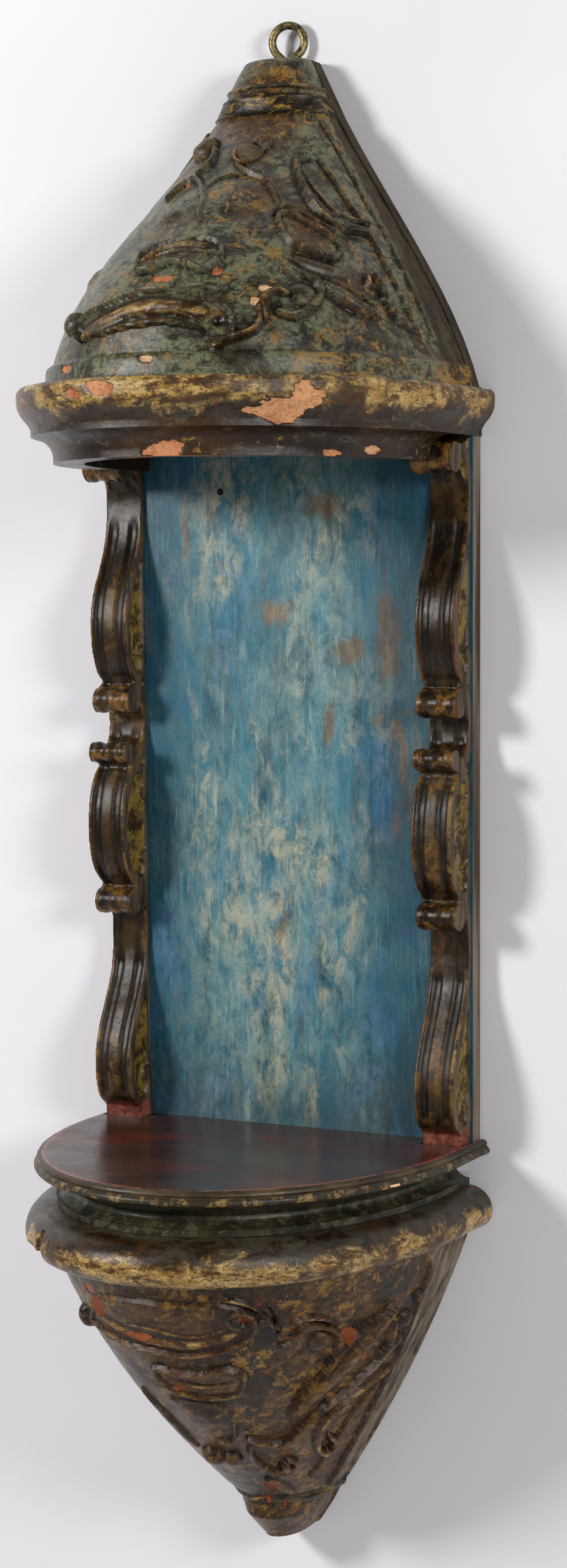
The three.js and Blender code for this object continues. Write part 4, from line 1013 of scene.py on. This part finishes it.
class Paint:
    """A small builder of one material's nodes."""

    def __init__(self, name):
        self.material = bpy.data.materials.new(name)
        self.material.use_nodes = True
        self.tree = self.material.node_tree
        self.tree.nodes.clear()
        self.shader = self.node("BsdfPrincipled", {"Specular IOR Level": 0.26})
        self.output = self.node("OutputMaterial", {"Surface": self.shader.outputs["BSDF"]})
        self.space = self.node("TexCoord").outputs["Object"]

    def node(self, kind, inputs=None, **settings):
        """A new node, its inputs set to numbers, colours or other nodes' outputs."""
        made = self.tree.nodes.new("ShaderNode" + kind)
        for key, value in settings.items():
            setattr(made, key, value)
        for key, value in (inputs or {}).items():
            self.put(value, made.inputs[key])
        return made

    def put(self, value, socket):
        if isinstance(value, str):
            socket.default_value = colour(value)
        elif isinstance(value, (int, float, tuple)):
            socket.default_value = value
        else:
            self.tree.links.new(value, socket)

    def attribute(self, name):
        return self.node("Attribute", attribute_name=name).outputs["Fac"]

    def stretched(self, x, y, z):
        return self.node("Mapping", {"Scale": (x, y, z), "Vector": self.space}).outputs["Vector"]

    def parts(self, vector=None):
        return self.node("SeparateXYZ", {"Vector": vector or self.space}).outputs

    def noise(self, scale, detail=4.0, roughness=0.55, vector=None, distortion=0.0):
        inputs = {"Scale": scale, "Detail": detail, "Roughness": roughness, "Distortion": distortion}
        return self.node("TexNoise", {**inputs, "Vector": vector or self.space}).outputs["Fac"]

    def step(self, value, low, high):
        inputs = {"Value": value, "From Min": low, "From Max": high}
        return self.node("MapRange", inputs, interpolation_type="SMOOTHSTEP").outputs["Result"]

    def math(self, operation, a, b=0.0):
        return self.node("Math", {0: a, 1: b}, operation=operation).outputs["Value"]

    def times(self, *values):
        total = values[0]
        for value in values[1:]:
            total = self.math("MULTIPLY", total, value)
        return total

    def most(self, a, b):
        return self.math("MAXIMUM", a, b)

    def mix(self, share, a, b, kind="RGBA"):
        return self.node("Mix", {"Factor": share, "A": a, "B": b}, data_type=kind).outputs["Result"]

    def over(self, under, top, *masks):
        """One colour laid over another where all the masks are."""
        return self.mix(self.times(*masks), under, top)

    def blend(self, share, a, b):
        return self.mix(share, a, b, "FLOAT")

    def zone(self, low, high):
        value = self.attribute("zone")
        above = self.math("GREATER_THAN", value, low - 0.5)
        below = self.math("LESS_THAN", value, high + 0.5)
        return self.times(above, below)

    def near(self, x, z, wide, tall):
        """Distance in X and Z from a place on the board, as a share of the sizes given."""
        inputs = {"Location": (x * MM, BOARD_FRONT * MM, (SHELF_TOP + z) * MM),
                  "Scale": (wide * MM, 1.0, tall * MM), "Vector": self.space}
        place = self.node("Mapping", inputs, vector_type="TEXTURE").outputs["Vector"]
        return self.node("VectorMath", {0: place}, operation="LENGTH").outputs["Value"]

    def facing(self):
        """The surface's Y direction: 1 towards the wall, -1 to the front."""
        return self.parts(self.node("NewGeometry").outputs["Normal"])["Y"]

    def back_wood(self, body):
        """Bare sawn wood where the surface faces the wall."""
        grain = self.noise(60, 6, 0.65, self.stretched(1.0, 1.0, 0.1), 0.3)
        stain = self.noise(12, 5, 0.6)
        wood = self.mix(self.step(grain, 0.35, 0.65), "#4a3826", "#8b745a")
        wood = self.mix(self.times(self.step(stain, 0.5, 0.62), 0.6), wood, "#352619")
        return self.mix(self.step(self.facing(), 0.5, 0.7), body, wood)

    def finish(self, base, roughness, bump_height, bump_mm):
        bump = self.node("Bump", {"Strength": 1.0, "Distance": bump_mm * MM, "Height": bump_height})
        self.put(base, self.shader.inputs["Base Color"])
        self.put(roughness, self.shader.inputs["Roughness"])
        self.put(bump.outputs["Normal"], self.shader.inputs["Normal"])
        return self.material


def carved_paint(name, shades, light_share, fleck_range, fleck_size, brown_from, side_wood, gilded):
    """Old paint over gilding. shades: the field's three, gold's two, the red ground, raw wood's two;
    light_share: how much of the lightest shade shows; fleck_range and fleck_size: gold flecks; brown_from:
    the noise level above which the field turns brown; side_wood: the flat sides' two shades; gilded: the
    heights between which the round moulding is gilded."""
    dark, field, light, gild, gild_light, red, raw_dark, raw_light = shades
    p = Paint(name)
    cloud = p.noise(14, 6, 0.62, distortion=0.5)
    patches = p.noise(38, 8, 0.72, distortion=0.8)
    flecks = p.noise(fleck_size, 8, 0.75, distortion=0.6)
    smears = p.noise(95, 8, 0.78, p.stretched(0.6, 0.6, 1.6), 0.4)
    crumbs = p.noise(170, 7, 0.75, p.stretched(0.7, 0.7, 1.5), 0.5)
    grit = p.noise(420, 6, 0.8)
    brown_part = p.step(p.noise(11, 5, 0.65, distortion=0.4), brown_from, brown_from + 0.1)
    body = p.mix(p.step(smears, 0.4, 0.58), dark, field)
    body = p.over(body, light, p.step(patches, 0.42, 0.56), p.step(crumbs, 0.38, 0.54), light_share)
    body = p.over(body, "#412a12", brown_part, p.step(smears, 0.36, 0.52), 0.85)
    body = p.over(body, "#62441a", brown_part, p.step(crumbs, 0.48, 0.58), 0.75)
    body = p.over(body, dark, p.step(p.noise(130, 7, 0.75, distortion=0.6), 0.52, 0.6), 0.85)
    body = p.over(body, "#14100a", p.step(grit, 0.5, 0.68), 0.5)
    specks = p.times(p.step(flecks, *fleck_range), p.step(p.noise(26, 5, 0.6), 0.42, 0.54), 0.85)
    body = p.over(body, p.mix(p.step(grit, 0.4, 0.6), gild, "#6b4a1c"), specks)
    red_flecks = p.times(p.step(p.noise(60, 8, 0.75), 0.6, 0.66), 0.7)
    body = p.over(body, red, red_flecks)
    cone = p.zone(FLARE, BAND)
    flat_side = p.times(p.step(p.attribute("side"), 0.35, 0.05), cone)
    streaks = p.noise(90, 6, 0.7, p.stretched(1.0, 1.0, 0.12))
    bare = p.mix(p.step(streaks, 0.35, 0.68), *side_wood)
    body = p.over(body, bare, flat_side, 0.85)
    # Mouldings: dark, with worn gilding on the round one
    fascia = p.mix(p.step(cloud, 0.36, 0.64), "#1a1009", "#33210f")
    fascia = p.over(fascia, "#4b4531", p.step(smears, 0.52, 0.62), 0.7)
    fascia = p.over(fascia, gild, p.step(flecks, 0.58, 0.64), p.step(patches, 0.45, 0.6), 0.8)
    body = p.over(body, fascia, p.zone(CAVETTO, FILLET))
    leaf = p.mix(p.step(smears, 0.38, 0.62), gild, gild_light)
    torus = p.mix(p.step(smears, 0.36, 0.62), "#150e07", "#38230e")
    torus = p.over(torus, "#34352a", p.step(cloud, 0.4, 0.55), p.step(smears, 0.4, 0.55), 0.8)
    low, high = ((SHELF_TOP + z) * MM for z in gilded)
    waver = p.math("ADD", p.parts()["Z"], p.times(p.math("SUBTRACT", patches, 0.5), 0.045))
    within = p.times(p.step(waver, low - 0.003, low + 0.004), p.step(waver, high + 0.003, high - 0.004))
    along = p.noise(70, 9, 0.8, p.stretched(0.7, 0.7, 1.8), 0.4)
    rubbed = p.times(p.step(p.noise(24, 5, 0.65, distortion=0.6), 0.37, 0.5),
                     p.step(along, 0.42, 0.52), within)
    rubbed = p.times(rubbed, p.step(grit, 0.36, 0.5), p.step(crumbs, 0.34, 0.44))
    torus = p.over(torus, "#4a2f12", within, 0.5)
    torus = p.over(torus, leaf, rubbed)
    torus = p.over(torus, red, p.step(flecks, 0.56, 0.62), p.step(cloud, 0.5, 0.6), 0.75)
    body = p.over(body, torus, p.zone(ROUND, ROUND))
    lip = p.times(p.zone(FLARE, FLARE), p.step(along, 0.48, 0.56), p.step(p.noise(9, 3, 0.5), 0.46, 0.54))
    body = p.over(body, gild, lip, 0.8)
    bands = p.mix(p.step(patches, 0.45, 0.6), dark, "#3f3420")
    bands = p.over(bands, gild, p.step(smears, 0.52, 0.6), 0.7)
    body = p.over(body, bands, p.zone(BAND, BEAD))
    # Carving: gilding worn through on the tops, red ground on the flanks, and painted shade with grime, near
    # black, in the hollows beside the ridges and in the pits
    top = p.attribute("gold")
    worn = p.times(p.step(top, 0.4, 0.85), p.step(patches, 0.4, 0.52), p.step(smears, 0.4, 0.56), 0.9)
    body = p.over(body, "#35200f", top, p.step(cloud, 0.2, 0.5), 0.7)
    body = p.over(body, p.mix(p.step(crumbs, 0.42, 0.58), "#6b4a1d", p.mix(0.5, gild, gild_light)), worn)
    flank = p.times(p.attribute("bole"), p.step(p.noise(80, 6, 0.7), 0.44, 0.58))
    body = p.over(body, red, flank, 0.7)
    # Painted shade with grime: near black in the hollows round the carving and in the pits
    corner = p.times(p.attribute("crease_shade_and_grime"), p.step(grit, 0.15, 0.5))
    body = p.over(body, "#0c0906", corner, 0.9)
    # Lost paint: clay red round the rim, pale wood or ground inside
    chip = p.attribute("chip")
    tone = p.attribute("tone")
    raw = p.mix(tone, raw_dark, raw_light)
    raw = p.over(raw, "#c4a67c", p.step(tone, 0.85, 0.95))
    raw = p.over(raw, raw_dark, p.step(patches, 0.45, 0.6), p.step(tone, 1.0, 0.8), 0.8)
    raw = p.over(raw, "#6b3a20", p.step(smears, 0.5, 0.6), 0.45)
    raw = p.over(raw, "#4a2a18", p.step(grit, 0.5, 0.62), 0.5)
    torn = p.math("ADD", chip, p.times(p.math("SUBTRACT", grit, 0.5), 1.6))
    rim = p.times(p.step(torn, 0.1, 0.35), 0.8)
    body = p.over(body, "#2c170c", rim)
    inside = p.step(torn, 0.5, 0.62)
    body = p.over(body, raw, inside)
    gloss = p.blend(p.step(patches, 0.35, 0.65), 0.17, 0.34)
    gloss = p.blend(p.times(p.step(grit, 0.4, 0.6), 0.35), gloss, 0.5)
    gloss = p.blend(p.most(inside, flat_side), gloss, 0.85)
    height = p.math("ADD", p.times(smears, 0.3), p.times(grit, 0.06))
    height = p.math("ADD", height, p.times(patches, 0.8))
    return p.finish(p.back_wood(body), gloss, height, 0.8)


def pilaster_paint():
    p = Paint("pilaster_gilding")
    cloud = p.noise(20, 6, 0.62, distortion=0.4)
    streaks = p.noise(120, 7, 0.72, p.stretched(1.0, 1.0, 0.16))
    smears = p.noise(90, 8, 0.76, distortion=0.5)
    grit = p.noise(420, 6, 0.8)
    body = p.mix(p.step(streaks, 0.38, 0.62), "#120c06", "#33240f")
    body = p.over(body, "#6a4d1f", p.step(cloud, 0.48, 0.62), p.step(smears, 0.44, 0.56), 0.7)
    # Painted shade: the flutes are darkened near black
    body = p.over(body, "#0d0905", p.attribute("flute"), p.step(smears, 0.3, 0.5), 0.85)
    edge = p.times(p.attribute("edge"), p.step(smears, 0.42, 0.56))
    body = p.over(body, p.mix(p.step(cloud, 0.42, 0.58), "#7a3c14", "#8f6c2c"), edge, 0.85)
    roll = p.times(p.attribute("roll"), p.step(smears, 0.48, 0.58))
    body = p.over(body, "#74501f", roll, 0.75)
    body = p.over(body, "#0d0905", p.step(grit, 0.52, 0.66), 0.45)
    cheek = p.mix(p.step(streaks, 0.38, 0.66), "#2c2219", "#5f5140")
    body = p.over(body, cheek, p.attribute("cheek"))
    web = p.mix(p.step(smears, 0.42, 0.58), "#2b200e", "#75602b")
    body = p.over(body, web, p.attribute("web"))
    foot = p.step(p.parts()["Z"], (SHELF_TOP + 13) * MM, (SHELF_TOP + 8) * MM)
    body = p.over(body, p.mix(p.step(smears, 0.4, 0.6), "#4c2015", "#85493a"), foot, 0.85)
    gloss = p.blend(p.step(cloud, 0.35, 0.7), 0.2, 0.4)
    gloss = p.blend(p.attribute("cheek"), gloss, 0.6)
    relief = p.math("ADD", p.times(streaks, 0.8), p.times(smears, 0.7))
    return p.finish(body, gloss, relief, 0.5)


# Places on the board's front, as [x, height, half width, half height]
NAIL_HOLE = (-48.0, 426.5, 2.8, 2.8)
STAINS = [(75, 331, 9, 32), (30, 416, 14, 9), (48, 321, 12, 9), (-75, 400, 2.5, 26), (-9, 346, 16, 9),
          (32, 272, 4, 14)]


def board_paint():
    p = Paint("board_paint")
    brush = p.noise(46, 8, 0.7, p.stretched(1.6, 1.0, 0.3), 0.3)
    scratch = p.noise(300, 6, 0.7, p.stretched(1.7, 1.0, 0.1))
    cloud = p.noise(8, 5, 0.6, p.stretched(1.0, 1.0, 0.6), 0.5)
    blotch = p.noise(13, 8, 0.7, p.stretched(1.3, 1.0, 0.6), 0.7)
    smears = p.noise(75, 8, 0.76, p.stretched(1.2, 1.0, 0.6), 0.4)
    grit = p.noise(420, 6, 0.8)
    place = p.parts()
    off_centre = p.math("ABSOLUTE", p.math("ADD", place["X"], 0.008))
    middle = p.step(off_centre, 0.1, 0.035)
    blue = p.mix(p.step(brush, 0.34, 0.66), "#0e3b49", "#236679")
    blue = p.over(blue, "#3b7f8e", p.step(scratch, 0.5, 0.66), 0.45)
    pale = p.times(p.step(cloud, 0.3, 0.6), p.step(smears, 0.3, 0.66), p.blend(middle, 0.3, 1.0))
    lower = p.step(place["Z"], (SHELF_TOP + 230) * MM, (SHELF_TOP + 120) * MM)
    hue = p.noise(17, 6, 0.7, p.stretched(1.2, 1.0, 0.8), 0.6)
    hue = p.step(p.math("ADD", hue, p.times(lower, 0.09)), 0.52, 0.66)
    blue = p.over(blue, "#195c8c", hue, p.step(smears, 0.34, 0.6), 0.75)
    blue = p.over(blue, "#85988a", pale, 0.7)
    worn = p.times(p.step(blotch, 0.47, 0.6), p.step(smears, 0.38, 0.56), p.blend(middle, 0.15, 1.0))
    blue = p.over(blue, p.mix(p.step(smears, 0.42, 0.6), "#6a705f", "#a09c86"), worn, 0.75)
    blue = p.over(blue, "#12404e", p.step(blotch, 0.44, 0.3), 0.5)
    blue = p.over(blue, "#0c222b", p.step(grit, 0.52, 0.66), 0.45)
    blue = p.over(blue, "#9fb3b0", p.step(scratch, 0.62, 0.72), p.blend(middle, 0.25, 0.6))
    rust = p.noise(14, 7, 0.72, p.stretched(1.2, 1.0, 0.8), 0.9)
    stain = p.step(rust, 0.6, 0.66)
    for x, z, wide, tall in STAINS:
        away = p.math("ADD", p.near(x, z, wide, tall), p.times(p.math("SUBTRACT", smears, 0.5), 5.0))
        stain = p.most(stain, p.step(away, 1.3, 0.4))
    blue = p.over(blue, p.mix(p.step(smears, 0.4, 0.6), "#5d4a30", "#8a6a48"), stain, 0.7)
    # Painted shade: the blue darkens towards both sides of the board, beside the pilasters
    blue = p.over(blue, "#0c2b39", p.blend(middle, 0.6, 0.0), p.step(brush, 0.3, 0.6))
    low = p.step(place["Z"], (SHELF_TOP + 60) * MM, (SHELF_TOP + 4) * MM)
    blue = p.over(blue, "#2a2a20", low, p.step(brush, 0.3, 0.6), 0.6)
    hole = p.step(p.near(*NAIL_HOLE), 1.0, 0.6)
    blue = p.over(blue, "#120d08", hole)
    wood = p.mix(p.step(p.noise(70, 5, 0.6, p.stretched(1.0, 1.0, 0.1)), 0.35, 0.65), "#3a2d20", "#75695a")
    above = p.step(place["Z"], (SHELF_TOP + RING_TOP - 4) * MM, (SHELF_TOP + RING_TOP + 4) * MM)
    painted = p.mix(p.step(smears, 0.4, 0.6), "#140f09", "#3a3020")
    wood = p.over(wood, painted, above, 0.9)
    front = p.step(p.facing(), -0.4, -0.6)
    body = p.mix(p.times(front, p.math("SUBTRACT", 1.0, above)), wood, blue)
    gloss = p.blend(front, 0.75, p.blend(p.step(brush, 0.3, 0.7), 0.34, 0.55))
    height = p.math("ADD", p.times(brush, 0.6), p.times(scratch, 0.4))
    height = p.math("SUBTRACT", p.math("ADD", height, p.times(smears, 0.4)), p.times(hole, 3.0))
    return p.finish(p.back_wood(body), gloss, height, 0.5)


def shelf_paint():
    p = Paint("shelf_varnish")
    large = p.noise(10, 3, 0.5, p.stretched(1.0, 1.4, 1.0), 0.3)
    middle = p.noise(40, 6, 0.65, p.stretched(0.8, 1.2, 1.0))
    small = p.noise(260, 4, 0.7)
    top = p.mix(p.step(middle, 0.25, 0.75), "#2c1a16", "#3c231c")
    top = p.over(top, "#5a2214", p.step(large, 0.46, 0.7), 0.75)
    top = p.over(top, "#3f302c", p.step(large, 0.46, 0.3), 0.6)
    inset = p.attribute("inset")
    line = p.times(p.step(inset, 3.6, 2.6), p.step(p.noise(70, 4, 0.6), 0.36, 0.5))
    top = p.over(top, "#8b4636", line, 0.75)
    top = p.over(top, "#8d7a68", p.step(small, 0.68, 0.74), 0.35)
    under = p.mix(p.step(p.noise(26, 7, 0.7, distortion=0.5), 0.38, 0.62), "#16130b", "#33301f")
    under = p.over(under, "#4f4c38", p.step(p.noise(95, 8, 0.78), 0.5, 0.6), 0.7)
    rim = p.mix(p.step(middle, 0.4, 0.65), "#2a2318", "#4a3c26")
    bead = p.mix(p.step(p.noise(120, 6, 0.75), 0.5, 0.62), "#2b2418", "#7a6238")
    body = p.mix(p.zone(TOP, TOP), under, top)
    body = p.over(body, rim, p.zone(BAND, BAND))
    body = p.over(body, bead, p.zone(BEAD, BEAD))
    chip = p.step(p.attribute("chip"), 0.45, 0.55)
    body = p.over(body, "#d9b48c", chip)
    gloss = p.blend(p.zone(TOP, TOP), p.blend(p.step(small, 0.3, 0.7), 0.32, 0.5),
                    p.blend(p.step(middle, 0.3, 0.7), 0.16, 0.3))
    return p.finish(p.back_wood(body), gloss, p.math("ADD", p.times(middle, 0.8), p.times(small, 0.5)), 0.3)


def brass_paint():
    p = Paint("eye_brass")
    tarnish = p.noise(260, 5, 0.65, distortion=0.6)
    body = p.mix(p.step(tarnish, 0.35, 0.65), "#3a3220", "#8f8058")
    body = p.over(body, "#241c10", p.step(p.noise(600, 3, 0.6), 0.6, 0.7), 0.6)
    p.shader.inputs["Metallic"].default_value = 0.85
    return p.finish(body, p.blend(p.step(tarnish, 0.3, 0.7), 0.32, 0.55), tarnish, 0.2)


def give(piece, material):
    piece.data.materials.clear()
    piece.data.materials.append(material)


def add_piece(piece, material, slot, *nodes):
    give(piece, material)
    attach(piece, "root")
    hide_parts(*nodes)


# Shades: field dark, middle and light, gold dark and light, red ground, raw wood dark and light
GREEN_SHADES = ("#14110a", "#363021", "#60634a", "#8a6a2e", "#b3955a", "#5a2410", "#93522f", "#cf9a6c")
BROWN_SHADES = ("#0d0905", "#28190a", "#353018", "#8a6828", "#b89c66", "#6b2a12", "#74391c", "#a8663c")
green = carved_paint("canopy_paint", GREEN_SHADES, 1.0, (0.53, 0.58), 120, 0.51, ("#241a10", "#4a3d2c"),
                     (RING_BOTTOM + 8, RING_TOP + 4))
brown = carved_paint("corbel_paint", BROWN_SHADES, 0.5, (0.52, 0.58), 100, 0.46, ("#33291f", "#867a6a"),
                     (CORBEL_TOP - 3, CORBEL_TOP + 19))
add_piece(make_canopy(), green, "canopy_paint", "canopy")
add_piece(make_corbel(), brown, "corbel_paint", "corbel")
add_piece(make_shelf(), shelf_paint(), "shelf_varnish", "shelf")
gilding = pilaster_paint()
add_piece(make_pilaster("pilaster_left_carved", -1), gilding, "pilaster_gilding", "pilaster_left")
add_piece(make_pilaster("pilaster_right_carved", 1), gilding, "pilaster_gilding", "pilaster_right")
add_piece(make_eye(), brass_paint(), "eye_brass", "hanging_eye")
give(bpy.data.objects["back_board"], board_paint())


# Stage: a pale floor, and a wall that shows from its front only
def stage_material(name, one_sided):
    p = Paint(name)
    base = p.mix(p.step(p.noise(3, 3, 0.5), 0.3, 0.7), "#cdccce", "#d3d2d4")
    material = p.finish(base, 0.9, p.noise(400, 2, 0.5), 0.05)
    if one_sided:
        behind = p.node("NewGeometry").outputs["Backfacing"]
        clear = p.node("BsdfTransparent").outputs["BSDF"]
        choose = p.node("MixShader", {0: behind, 1: p.shader.outputs["BSDF"], 2: clear})
        p.put(choose.outputs["Shader"], p.output.inputs["Surface"])
    return material


def stage_mesh(name, corners, faces, one_sided):
    mesh = bpy.data.meshes.new(name)
    mesh.from_pydata(corners, [], faces)
    made = add_object(name, mesh)
    give(made, stage_material(name, one_sided))


WALL_Y, WALL_HALF, WALL_TOP, FLOOR_Z, FLOOR_HALF = 0.002, 2.2, 2.2, -0.95, 3.0
# The wall is open behind the object, inside its outline: [half width, height]
WALL_OPENING = [(11, -272), (28, -246), (108, -72), (128, -22), (128, 470), (116, 500), (36, 652), (17, 694)]


def make_wall():
    corners, faces = [], []

    def strip(low, high, low_z, high_z):
        start = len(corners)
        corners.extend([(low[0], WALL_Y, low_z), (low[1], WALL_Y, low_z),
                        (high[1], WALL_Y, high_z), (high[0], WALL_Y, high_z)])
        faces.append((start, start + 1, start + 2, start + 3))
    levels = [(half * MM, (z + SHELF_TOP) * MM) for half, z in WALL_OPENING]
    whole = (-WALL_HALF, WALL_HALF)
    strip(whole, whole, FLOOR_Z, levels[0][1])
    strip(whole, whole, levels[-1][1], WALL_TOP)
    for (half0, z0), (half1, z1) in zip(levels[:-1], levels[1:]):
        strip((half0, WALL_HALF), (half1, WALL_HALF), z0, z1)
        strip((-WALL_HALF, -half0), (-WALL_HALF, -half1), z0, z1)
    stage_mesh("wall", corners, faces, True)


make_wall()
FLOOR_CORNERS = [(-FLOOR_HALF, -FLOOR_HALF, FLOOR_Z), (FLOOR_HALF, -FLOOR_HALF, FLOOR_Z),
                 (FLOOR_HALF, FLOOR_HALF, FLOOR_Z), (-FLOOR_HALF, FLOOR_HALF, FLOOR_Z)]
stage_mesh("floor", FLOOR_CORNERS, [(0, 1, 2, 3)], False)

# Camera at the photograph's viewing angle, worked out from the shelf, ring and pilasters
IMAGE_HEIGHT = 2576
CAMERA_AZIMUTH, CAMERA_PITCH, CAMERA_ROLL, CAMERA_YAW = 26.73, 6.64, -0.45, 0.25
CAMERA_DISTANCE, CAMERA_HEIGHT = 1839.0, 365.3
FOCAL_PIXELS, CENTRE_Y_PIXELS = 4501.0, 1481.9
SENSOR = 36.0


def make_camera():
    data = bpy.data.cameras.new("camera")
    data.sensor_fit = "VERTICAL"
    data.sensor_height = SENSOR
    data.lens = FOCAL_PIXELS * SENSOR / IMAGE_HEIGHT
    data.shift_y = (CENTRE_Y_PIXELS - IMAGE_HEIGHT / 2) / IMAGE_HEIGHT
    data.clip_start = 0.05
    azimuth = math.radians(CAMERA_AZIMUTH)
    yaw = azimuth + math.radians(CAMERA_YAW)
    pitch = math.radians(CAMERA_PITCH)
    place = Vector((math.sin(azimuth), -math.cos(azimuth), 0)) * CAMERA_DISTANCE * MM
    place.z = (CAMERA_HEIGHT + SHELF_TOP) * MM
    forward = Vector((-math.sin(yaw) * math.cos(pitch), math.cos(yaw) * math.cos(pitch), -math.sin(pitch)))
    right = Vector((math.cos(yaw), math.sin(yaw), 0))
    up = right.cross(forward)
    roll = math.radians(CAMERA_ROLL)
    right_rolled = right * math.cos(roll) + up * math.sin(roll)
    up_rolled = up * math.cos(roll) - right * math.sin(roll)
    basis = Matrix((right_rolled, up_rolled, -forward)).transposed()
    camera = add_object("camera", data)
    camera.matrix_world = Matrix.Translation(place) @ basis.to_4x4()
    bpy.context.scene.camera = camera


def area_light(name, place, target, size, power):
    data = bpy.data.lights.new(name, "AREA")
    data.shape = "DISK"
    data.size = size
    data.energy = power
    light = add_object(name, data)
    light.location = place
    light.rotation_euler = (Vector(target) - Vector(place)).to_track_quat("-Z", "Y").to_euler()


# Lights as [name, place, target, size across, watts]
LIGHTS = [
    ("key_left", (-1.25, -1.7, 0.75), (0, -0.05, 0.0), 0.5, 44),
    ("second_right", (1.9, -1.25, 0.55), (0, -0.05, 0.05), 0.6, 32),
]
WORLD_TINT, WORLD_STRENGTH = "#eceaea", 0.34

make_camera()
for light in LIGHTS:
    area_light(*light)
world = bpy.data.worlds.new("world")
world.use_nodes = True
sky = world.node_tree.nodes["Background"]
sky.inputs["Color"].default_value = colour(WORLD_TINT)
sky.inputs["Strength"].default_value = WORLD_STRENGTH
bpy.context.scene.world = world
bpy.context.scene.view_settings.view_transform = "Standard"
